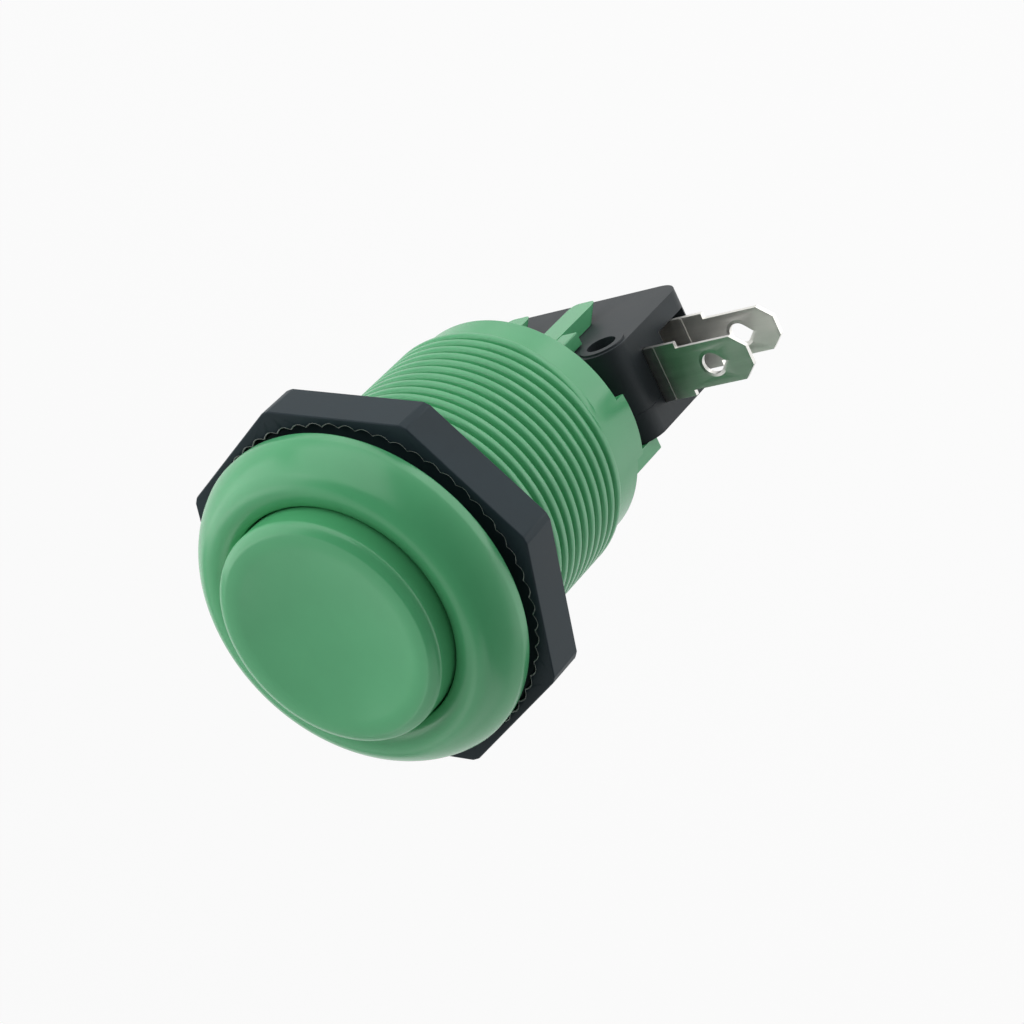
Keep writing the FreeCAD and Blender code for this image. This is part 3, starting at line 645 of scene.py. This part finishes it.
class PUSHBUTTON_OT_moulding(Operator):
    """Model the bezel, barrel and floor of the green moulding"""

    bl_idname = "push_button.moulding"
    bl_label = "Moulded Body"

    def execute(self, context):
        sizes = context.scene.button_moulding
        bore = context.scene.button_plunger.radius + sizes.plunger_gap
        lower_bore = sizes.collar_radius - sizes.collar_wall
        floor_rear = -sizes.barrel_length
        lip = (bore, sizes.lip_height)
        shoulder = (sizes.bezel_radius - sizes.slope_width, sizes.shoulder_height)
        rim = (sizes.bezel_radius, sizes.rim_height)
        outline = [Vector(lip)]
        outline += arc(lip, shoulder, sizes.roll_rise, ROLL_STEPS)
        outline += arc(shoulder, rim, sizes.slope_rise, SLOPE_STEPS)
        rim_corner = len(outline)
        outline += [
            Vector((sizes.bezel_radius, 0.0)),
            Vector((sizes.root_radius, 0.0)),
            Vector((sizes.root_radius, -sizes.thread_end)),
            Vector((sizes.collar_radius, -sizes.thread_end)),
            Vector((sizes.collar_radius, floor_rear)),
            Vector((lower_bore, floor_rear)),
            Vector((lower_bore, -sizes.stop_depth)),
            Vector((bore, -sizes.stop_depth)),
        ]
        bm = bmesh.new()
        verts = add_loop(bm, [(point.x, 0.0, point.y) for point in outline])[0]
        lip_vert, rim_vert, collar_vert = verts[0], verts[rim_corner], verts[rim_corner + 4]
        for vert, radius in (
            (rim_vert, sizes.rim_edge), (lip_vert, sizes.lip_round), (collar_vert, sizes.collar_round)
        ):
            round_corners(bm, [vert], radius)
        spin(bm, bm.verts[:] + bm.edges[:], FULL_TURN, ROUND_STEPS, merge=True)

        slot_x = (-sizes.slot_half_width, sizes.slot_half_width)
        slot_y = (sizes.slot_inner, sizes.slot_outer)
        overlap = sizes.collar_wall / 2
        holes = [
            circle_points(lower_bore + overlap, floor_rear, ROUND_STEPS),
            circle_points(sizes.stem_hole, floor_rear, HOLE_STEPS),
            box_points(slot_x, slot_y, floor_rear),
            box_points(slot_x, (-slot_y[1], -slot_y[0]), floor_rear),
        ]
        recessed = 0.02 * MM
        add_plate(bm, holes, floor_rear + recessed, sizes.floor_thickness)
        add_piece(context, bm, "moulded_body", "housing", "green_plastic", "cloudy_green", "button_body")
        return {"FINISHED"}


class PUSHBUTTON_OT_thread(Operator):
    """Model the right-hand thread as a helix"""

    bl_idname = "push_button.thread"
    bl_label = "Barrel Thread"

    def execute(self, context):
        sizes = context.scene.button_thread
        foot = context.scene.button_moulding.root_radius - sizes.sink
        start = -sizes.first_crest - sizes.turns * sizes.pitch
        bm = bmesh.new()
        corners = [
            (foot, 0.0, start - sizes.foot_half),
            (sizes.crest_radius, 0.0, start - sizes.crest_half),
            (sizes.crest_radius, 0.0, start + sizes.crest_half),
            (foot, 0.0, start + sizes.foot_half),
        ]
        verts = add_loop(bm, corners)[0]
        round_corners(bm, verts[1:3], sizes.crest_round, segments=3)
        section = len(bm.verts)
        spin(bm, bm.verts[:] + bm.edges[:], FULL_TURN, sizes.steps, sizes.pitch / sizes.steps)
        turn = bm.verts[:] + bm.edges[:] + bm.faces[:]
        for count in range(1, sizes.turns):
            copy = bmesh.ops.duplicate(bm, geom=turn)["geom"]
            bmesh.ops.translate(bm, verts=only(copy, BMVert), vec=(0, 0, count * sizes.pitch))
        self.fade_ends(bm, section, sizes, foot)
        add_piece(context, bm, "barrel_thread", "housing", "green_plastic", "cloudy_green")
        return {"FINISHED"}

    def fade_ends(self, bm, section, sizes, foot):
        """Lets the ridge sink into the barrel at both of its ends."""
        whole = section * (sizes.steps + 1)
        for index, vert in enumerate(bm.verts):
            step = sizes.steps * (index // whole) + index % whole // section
            share = min(step, sizes.steps * sizes.turns - step) / sizes.run_out
            if share < 1:
                radius = vert.co.xy.length
                vert.co.xy *= (foot + (radius - foot) * share) / radius


class PUSHBUTTON_OT_cradle(Operator):
    """Model the arms, walls, seats and rib that hold the switch"""

    bl_idname = "push_button.cradle"
    bl_label = "Switch Cradle"

    def execute(self, context):
        sizes = context.scene.button_cradle
        moulding = context.scene.button_moulding
        floor_rear = -moulding.barrel_length
        foot = floor_rear + sizes.sink
        face = -COVER_LOW.y + sizes.side_gap
        upper = (face, face + sizes.wall)
        lower = (-upper[1], -upper[0])
        half = sizes.finger_width / 2
        seat = (-sizes.seat_half, sizes.seat_half)
        bm = bmesh.new()
        for middle in (sizes.near_finger, sizes.far_finger):
            self.add_finger(bm, sizes, middle - half, upper, foot)
        block = (floor_rear - sizes.block_reach, foot)
        block_left = sizes.near_finger + half - sizes.wall / 2
        block_upper = (upper[0] + sizes.side_gap, upper[1] - sizes.side_gap)
        add_block(bm, (block_left, sizes.block_right), block_upper, block, sizes.edge)
        wall = (floor_rear - sizes.wall_reach, foot)
        add_block(bm, (-sizes.wall_right, sizes.wall_right), lower, wall, sizes.edge)
        seat_levels = (CASE_HIGH.z, foot)
        add_block(bm, (sizes.seat_inner, sizes.seat_outer), seat, seat_levels, sizes.edge)
        add_block(bm, (-sizes.seat_outer, -sizes.seat_inner), seat, seat_levels, sizes.edge)
        self.add_rib(bm, sizes, moulding.collar_radius, floor_rear)
        add_piece(context, bm, "switch_cradle", "housing", "green_plastic", "cloudy_green", "button_body")
        return {"FINISHED"}

    def add_finger(self, bm, sizes, left, upper, foot):
        """An arm with a rounded tip that is cut back on its inner side."""
        end = BODY_LOW.z
        outline = [
            (left, upper[0], foot),
            (left, upper[0], end + sizes.finger_lead),
            (left, upper[1], end),
            (left, upper[1], foot),
        ]
        side = bm.faces.new([bm.verts.new(point) for point in outline])
        made = bmesh.ops.extrude_face_region(bm, geom=[side])["geom"]
        moved = only(made, BMVert)
        bmesh.ops.translate(bm, verts=moved, vec=(sizes.finger_width, 0, 0))
        own = list(side.verts) + moved
        edges = {edge for vert in own for edge in vert.link_edges}
        faces = list({face for vert in own for face in vert.link_faces})
        bmesh.ops.recalc_face_normals(bm, faces=faces)
        tip = [edge for edge in edges
               if all(vert.co.z < end + sizes.finger_lead + MERGE for vert in edge.verts)
               and abs(edge.verts[0].co.x - edge.verts[1].co.x) < MERGE]
        rest = [edge for edge in edges if edge not in tip]
        soften(bm, tip, sizes.finger_round, segments=4)
        soften(bm, [edge for edge in rest if edge.is_valid], sizes.edge)

    def add_rib(self, bm, sizes, radius, floor_rear):
        """The low rib that follows the collar's edge."""
        inner = radius - sizes.rib_thickness
        low = floor_rear - sizes.rib_height
        high = floor_rear + sizes.sink / 2
        start = math.asin(sizes.rib_bottom / radius)
        angle = math.asin(sizes.rib_top / radius) - start
        levels = ((inner, low), (radius, low), (radius, high), (inner, high))
        verts, edges = add_loop(bm, [(across, 0.0, level) for across, level in levels])
        bmesh.ops.rotate(bm, verts=verts, cent=(0, 0, 0), matrix=Matrix.Rotation(start, 3, "Z"))
        sweep(bm, verts, edges, angle, RIB_STEPS)


class PUSHBUTTON_OT_plunger(Operator):
    """Model the plunger with its concave cap, stem and hooked legs"""

    bl_idname = "push_button.plunger"
    bl_label = "Plunger"

    def execute(self, context):
        sizes = context.scene.button_plunger
        top = PLUNGER_HIGH.z
        dish = (0.0, top - sizes.dish_depth)
        rim = (sizes.radius - sizes.rim_width, top)
        crown = (sizes.radius - sizes.edge_width, top - sizes.crown_fall)
        wall = (sizes.radius, top - sizes.crown_fall - sizes.edge_fall)
        skirt_inner = sizes.radius - sizes.skirt_wall
        cap_under = top - sizes.dish_depth - sizes.cap_thickness
        curve = self.dish_points(sizes, top, rim[0], DISH_STEPS)
        hollow = [point for point in curve if point.x < rim[0] - sizes.ease]
        curve = arc(rim, crown, sizes.crown_rise, CROWN_STEPS)
        rounded = [point for point in curve if point.x > rim[0] + sizes.ease]
        outline = [Vector(dish), *hollow]
        outline += arc(hollow[-1], rounded[0], sizes.ease_rise, EASE_STEPS)[:-1]
        outline += rounded
        outline += arc(crown, wall, sizes.edge_rise, EDGE_STEPS)
        outline += [Vector(point) for point in (
            (sizes.radius, -sizes.skirt_reach),
            (skirt_inner, -sizes.skirt_reach),
            (skirt_inner, cap_under),
            (sizes.stem_radius, cap_under),
            (sizes.stem_radius, -sizes.stem_end),
            (0.0, -sizes.stem_end),
        )]
        bm = bmesh.new()
        add_loop(bm, [(point.x, 0.0, point.y) for point in outline], closed=False)
        spin(bm, bm.verts[:] + bm.edges[:], FULL_TURN, ROUND_STEPS, merge=True)
        bmesh.ops.remove_doubles(bm, verts=bm.verts, dist=MERGE)
        self.add_legs(bm, sizes)
        add_piece(context, bm, "concave_plunger", "plunger", "green_plastic", "cloudy_green", "plunger")
        return {"FINISHED"}

    def dish_points(self, sizes, top, width, steps):
        """The dish from its lowest point out to the rim."""
        radius = (width * width + sizes.dish_depth * sizes.dish_depth) / (2 * sizes.dish_depth)
        centre = top - sizes.dish_depth + radius
        points = []
        for step in range(1, steps + 1):
            across = width * step / steps
            points.append(Vector((across, centre - math.sqrt(radius * radius - across * across))))
        return points

    def add_legs(self, bm, sizes):
        """Two legs with hooks that hold the plunger in the barrel."""
        half = (-sizes.leg_half_width, sizes.leg_half_width)
        inner = sizes.leg_outer - sizes.leg_thickness
        levels = (PLUNGER_LOW.z, sizes.leg_root - sizes.skirt_reach)
        hook = (PLUNGER_LOW.z, PLUNGER_LOW.z + sizes.hook_height)
        middle = inner + sizes.leg_thickness / 2
        for side in (1, -1):
            leg = sorted((side * inner, side * sizes.leg_outer))
            add_block(bm, half, leg, levels, sizes.edge)
            catch = sorted((side * (inner - sizes.hook_reach), side * middle))
            add_block(bm, half, catch, hook, sizes.edge)


class PUSHBUTTON_OT_spring(Operator):
    """Model the return spring as a coil of round wire"""

    bl_idname = "push_button.spring"
    bl_label = "Return Spring"

    def execute(self, context):
        sizes = context.scene.button_spring
        height = SPRING_HIGH.z - SPRING_LOW.z
        pitch = (height - 2 * sizes.wire_radius) / sizes.turns
        bm = bmesh.new()
        facing = Matrix.Rotation(math.pi / 2, 4, "X")
        middle = Matrix.Translation((sizes.coil_radius, 0.0, SPRING_LOW.z + sizes.wire_radius))
        bmesh.ops.create_circle(bm, segments=sizes.sides, radius=sizes.wire_radius, matrix=middle @ facing)
        steps = round(sizes.turns * sizes.steps)
        sweep(bm, bm.verts[:], bm.edges[:], sizes.turns * FULL_TURN, steps, pitch / sizes.steps)
        spring = add_piece(
            context, bm, "coiled_spring", "housing", "spring_steel", "drawn_steel", "return_spring"
        )
        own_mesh(spring)
        return {"FINISHED"}


class PUSHBUTTON_OT_nut(Operator):
    """Model the octagonal nut with its scalloped recess"""

    bl_idname = "push_button.nut"
    bl_label = "Panel Nut"

    def execute(self, context):
        sizes = context.scene.button_nut
        front, rear = NUT_HIGH.z, NUT_LOW.z
        recess_floor = front - sizes.recess_depth
        bm = bmesh.new()
        outer_rear = add_loop(bm, self.octagon(sizes, rear))[1]
        outer_front = raise_wall(bm, outer_rear, front - rear)
        bore_rear = add_loop(bm, circle_points(sizes.bore_radius, rear, ROUND_STEPS))[1]
        bore_front = raise_wall(bm, bore_rear, recess_floor - rear)
        wave_floor = add_loop(bm, self.wave(sizes, recess_floor))[1]
        wave_front = raise_wall(bm, wave_floor, sizes.recess_depth)
        fill(bm, outer_rear + bore_rear)
        fill(bm, outer_front + wave_front)
        fill(bm, wave_floor + bore_front)
        bmesh.ops.recalc_face_normals(bm, faces=bm.faces)
        reach = scallop_reach(sizes)
        outside = [edge for edge in folded_edges(bm, CORNER)
                   if all(vert.co.xy.length > reach for vert in edge.verts)]
        soften(bm, outside, sizes.edge, segments=3)
        crests = [edge for edge in folded_edges(bm)
                  if all(abs(vert.co.z - front) < MERGE for vert in edge.verts)
                  and all(vert.co.xy.length < reach for vert in edge.verts)]
        soften(bm, crests, sizes.scallop_edge)
        add_piece(context, bm, "octagonal_nut", "nut", "nut_plastic", "matt_black", "panel_nut")
        return {"FINISHED"}

    def octagon(self, sizes, level):
        """Eight flats with cut corners."""
        corner_radius = sizes.across_flats / 2 / math.cos(math.pi / FLATS)
        corners = [Vector(point) for point in circle_points(corner_radius, level, FLATS, sizes.turn)]
        points = []
        for index, corner in enumerate(corners):
            for neighbour in (corners[index - 1], corners[(index + 1) % FLATS]):
                points.append(corner + (neighbour - corner).normalized() * sizes.corner)
        return points

    def wave(self, sizes, level):
        """The recess's wall: a row of shallow scallops around the axis."""
        points = []
        count = sizes.scallops * sizes.scallop_steps
        for step in range(count):
            angle = sizes.turn + FULL_TURN * step / count
            bulge = abs(math.sin(math.pi * step / sizes.scallop_steps))
            radius = sizes.recess_radius + sizes.scallop_depth * bulge
            points.append((radius * math.cos(angle), radius * math.sin(angle), level))
        return points


class PUSHBUTTON_OT_switch(Operator):
    """Round the edges of the switch's housing and give it its finish"""

    bl_idname = "push_button.switch"
    bl_label = "Switch Housing"

    def execute(self, context):
        edge = context.scene.button_switch.case_edge
        for node in ("switch_case", "switch_cover"):
            bm = softened_copy(node, edge)
            add_piece(context, bm, f"{node}_moulding", "housing", "switch_plastic", "housing_plastic", node)
        return {"FINISHED"}


class PUSHBUTTON_OT_blades(Operator):
    """Model the switch's terminals, with pressed tips and pointed eyes"""

    bl_idname = "push_button.blades"
    bl_label = "Terminal Blades"

    def execute(self, context):
        sizes = context.scene.button_switch
        closed = bmesh.new()
        self.add_side_blade(closed, sizes, CLOSED_LOW.x, CLOSED_LOW.z)
        add_piece(
            context, closed, "near_blade", "housing", "plated_brass", "plated_metal",
            "normally_closed_terminal", sharp=CRISP,
        )
        opened = bmesh.new()
        riser = CASE_HIGH.x - sizes.shoulder_reach
        self.add_side_blade(opened, sizes, riser, OPEN_LOW.z)
        wide = (-sizes.shoulder_half, sizes.shoulder_half)
        add_block(opened, (riser, riser + sizes.strip), wide, (OPEN_LOW.z, OPEN_HIGH.z), sizes.strip_edge)
        arm = (OPEN_HIGH.z - sizes.strip, OPEN_HIGH.z)
        add_block(opened, (OPEN_LOW.x, riser + sizes.strip), wide, arm, sizes.strip_edge)
        # The far blade wears the rougher plate whose lighter tint is painted light.
        add_piece(
            context, opened, "far_blade", "housing", "plated_brass", "satin_plate_painted_lighter",
            "normally_open_terminal", sharp=CRISP,
        )
        rear = softened_copy("common_terminal", sizes.strip_edge)
        add_piece(context, rear, "rear_blade", "housing", "plated_brass", "plated_metal", "common_terminal")
        return {"FINISHED"}

    def add_side_blade(self, bm, sizes, root, low):
        """A blade from its root in the case out to its tip."""
        tip = CLOSED_HIGH.x
        shoulder = CASE_HIGH.x + sizes.shoulder_reach
        half = [
            (root, sizes.shoulder_half),
            (shoulder, sizes.shoulder_half),
            (shoulder, sizes.tab_half),
            (tip - sizes.tip_length, sizes.tab_half),
            (tip, sizes.tip_half),
        ]
        outline = [(x, -y) for x, y in half] + half[::-1]
        eye = tip - sizes.eye_from_tip
        add_plate(bm, [outline, self.eye_outline(sizes, eye)], low, sizes.strip)
        bmesh.ops.recalc_face_normals(bm, faces=bm.faces)
        for level, way in ((low + sizes.strip, -1), (low, 1)):
            flat = [face for face in bm.faces if all(abs(vert.co.z - level) < MERGE for vert in face.verts)]
            border = {vert for edge in bm.edges if len(set(edge.link_faces) & set(flat)) == 1
                      for vert in edge.verts}
            bmesh.ops.inset_region(bm, faces=flat, thickness=sizes.coin_width, use_even_offset=True)
            pressed = [vert for vert in border if vert.co.x > tip - sizes.tip_length - MERGE]
            bmesh.ops.translate(bm, verts=pressed, vec=(0, 0, way * sizes.coin_depth))
            reach = 1.5 * sizes.eye_radius
            rim = [vert for vert in border if (vert.co.xy - Vector((eye, 0))).length < reach]
            bmesh.ops.translate(bm, verts=rim, vec=(0, 0, way * sizes.coin_depth))
        crease = CASE_HIGH.x + sizes.crease
        levels = (low - sizes.crease_height, low + sizes.strip + sizes.crease_height)
        inside = sizes.shoulder_half - sizes.crease_height
        add_block(bm, (crease - sizes.strip / 2, crease), (-inside, inside), levels, sizes.crease_height)

    def eye_outline(self, sizes, middle):
        """A round eye with a square point towards the tip."""
        points = [(middle + sizes.eye_radius * math.sqrt(2), 0.0)]
        for step in range(EYE_STEPS + 1):
            angle = math.pi / 4 + 1.5 * math.pi * step / EYE_STEPS
            points.append((middle + sizes.eye_radius * math.cos(angle), sizes.eye_radius * math.sin(angle)))
        return points


class PUSHBUTTON_OT_inner_pieces(Operator):
    """Give the pieces inside the switch their finish"""

    bl_idname = "push_button.inner_pieces"
    bl_label = "Inner Pieces"

    def execute(self, context):
        finishes = {
            "switch_pin": "housing_plastic",
            "snap_blade": "drawn_steel",
            "moving_contact": "bright_silver",
            "normally_open_contact": "bright_silver",
            "normally_closed_contact": "bright_silver",
        }
        for node, look in finishes.items():
            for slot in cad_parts[node].material_slots:
                slot.material = finish(context, look)
        return {"FINISHED"}


class PUSHBUTTON_OT_stage(Operator):
    """Set the camera, the floor, the lamps and the white surroundings"""

    bl_idname = "push_button.stage"
    bl_label = "Stage"

    def execute(self, context):
        settings = context.scene.button_stage
        self.add_camera(context, settings)
        self.add_floor(context, settings)
        self.add_world(context, settings)
        self.add_lamps(context, settings)
        context.scene.view_settings.view_transform = "Standard"
        return {"FINISHED"}

    def add_camera(self, context, settings):
        """The photograph's viewpoint."""
        back = CAMERA_RIGHT.cross(CAMERA_UP)
        turn = Matrix((CAMERA_RIGHT, CAMERA_UP, back)).transposed().to_4x4()
        data = bpy.data.cameras.new("camera")
        data.lens = settings.lens
        data.sensor_width = 36.0
        data.clip_start = 0.01
        camera = bpy.data.objects.new("camera", data)
        camera.matrix_world = Matrix.Translation(CAMERA_PLACE) @ turn
        context.scene.collection.objects.link(camera)
        context.scene.camera = camera

    def add_floor(self, context, settings):
        """A wide pale floor that is white to the camera and keeps the object's shadow."""
        bm = bmesh.new()
        bmesh.ops.create_grid(bm, x_segments=1, y_segments=1, size=settings.floor_reach)
        bmesh.ops.translate(bm, verts=bm.verts, vec=(0, 0, settings.floor_level))
        mesh = bpy.data.meshes.new("floor")
        bm.to_mesh(mesh)
        bm.free()
        floor = bpy.data.objects.new("floor", mesh)
        context.scene.collection.objects.link(floor)
        mesh.materials.append(self.floor_material(context))

    def floor_material(self, context):
        """Pale, with its white shown to the camera and to reflections."""
        material = bpy.data.materials.new("pale_floor")
        material.use_nodes = True
        tree = material.node_tree
        pale = tree.nodes["Principled BSDF"]
        set_inputs(pale, Base_Color=(*context.scene.button_finishes.floor, 1.0), Roughness=0.9)
        white = add_node(tree, "ShaderNodeEmission", Strength=1.0)
        share = maths(tree, "MULTIPLY", self.seen_rays(tree), context.scene.button_stage.floor_white)
        mix = add_node(tree, "ShaderNodeMixShader", share, pale.outputs["BSDF"], white.outputs["Emission"])
        set_inputs(tree.nodes["Material Output"], Surface=mix.outputs["Shader"])
        return material

    def seen_rays(self, tree):
        """A socket that is one for rays of the camera, of reflections and of transmission."""
        rays = add_node(tree, "ShaderNodeLightPath").outputs
        mirrored = maths(tree, "MAXIMUM", rays["Is Glossy Ray"], rays["Is Transmission Ray"])
        return maths(tree, "MAXIMUM", rays["Is Camera Ray"], mirrored)

    def add_world(self, context, settings):
        """Soft light that is paler near the floor than overhead."""
        world = bpy.data.worlds.new("surroundings")
        context.scene.world = world
        world.use_nodes = True
        tree = world.node_tree
        place = add_node(tree, "ShaderNodeTexCoord").outputs["Generated"]
        height = add_node(tree, "ShaderNodeSeparateXYZ", place).outputs["Z"]
        greys = [[level] * 3 for level in (settings.low_light, settings.high_light)]
        set_inputs(tree.nodes["Background"], Color=blend(tree, height, LIGHT_RANGE, greys))

    def add_lamps(self, context, settings):
        """Soft square lamps around the object."""
        lamps = (
            ("left_lamp", settings.left_power, (-0.325, 0.175, 0.185)),
            ("upper_lamp", settings.upper_power, (-0.002, 0.385, 0.153)),
            ("rear_lamp", settings.rear_power, (0.063, 0.358, -0.226)),
            ("back_lamp", settings.back_power, (0.275, 0.129, -0.305)),
            ("right_lamp", settings.right_power, (0.325, -0.175, -0.215)),
            ("low_lamp", settings.low_power, (-0.063, -0.358, 0.196)),
            ("front_lamp", settings.front_power, (-0.275, -0.129, 0.275)),
        )
        for name, power, place in lamps:
            data = bpy.data.lights.new(name, "AREA")
            data.energy = power
            data.size = settings.lamp_size
            lamp = bpy.data.objects.new(name, data)
            turn = (LAMP_AIM - Vector(place)).to_track_quat("-Z", "Y").to_matrix().to_4x4()
            lamp.matrix_world = Matrix.Translation(place) @ turn
            context.scene.collection.objects.link(lamp)


class PUSHBUTTON_PT_pieces(Panel):
    """Buttons for every piece and the settings they use"""

    bl_idname = "PUSHBUTTON_PT_pieces"
    bl_label = "Push Button"
    bl_space_type = "VIEW_3D"
    bl_region_type = "UI"
    bl_category = "Push Button"

    def draw(self, context):
        for operator in OPERATORS:
            self.layout.operator(operator.bl_idname)
        for setting, group in SETTINGS.items():
            box = self.layout.box()
            box.label(text=group.__doc__)
            for name in group.__annotations__:
                box.prop(getattr(context.scene, setting), name)


SETTINGS = {
    "button_moulding": MouldingSizes,
    "button_thread": ThreadSizes,
    "button_cradle": CradleSizes,
    "button_plunger": PlungerSizes,
    "button_spring": SpringSizes,
    "button_nut": NutSizes,
    "button_switch": SwitchSizes,
    "button_finishes": Finishes,
    "button_stage": StageSettings,
}

OPERATORS = (
    PUSHBUTTON_OT_moulding,
    PUSHBUTTON_OT_thread,
    PUSHBUTTON_OT_cradle,
    PUSHBUTTON_OT_plunger,
    PUSHBUTTON_OT_spring,
    PUSHBUTTON_OT_nut,
    PUSHBUTTON_OT_switch,
    PUSHBUTTON_OT_blades,
    PUSHBUTTON_OT_inner_pieces,
    PUSHBUTTON_OT_stage,
)


def register():
    for group in SETTINGS.values():
        bpy.utils.register_class(group)
    for operator in OPERATORS:
        bpy.utils.register_class(operator)
    bpy.utils.register_class(PUSHBUTTON_PT_pieces)
    for name, group in SETTINGS.items():
        setattr(bpy.types.Scene, name, PointerProperty(type=group))


def unregister():
    for name in SETTINGS:
        delattr(bpy.types.Scene, name)
    bpy.utils.unregister_class(PUSHBUTTON_PT_pieces)
    for operator in reversed(OPERATORS):
        bpy.utils.unregister_class(operator)
    for group in reversed(SETTINGS.values()):
        bpy.utils.unregister_class(group)


def main():
    register()
    for operator in OPERATORS:
        family, name = operator.bl_idname.split(".")
        getattr(getattr(bpy.ops, family), name)()


if __name__ == "__main__":
    main()
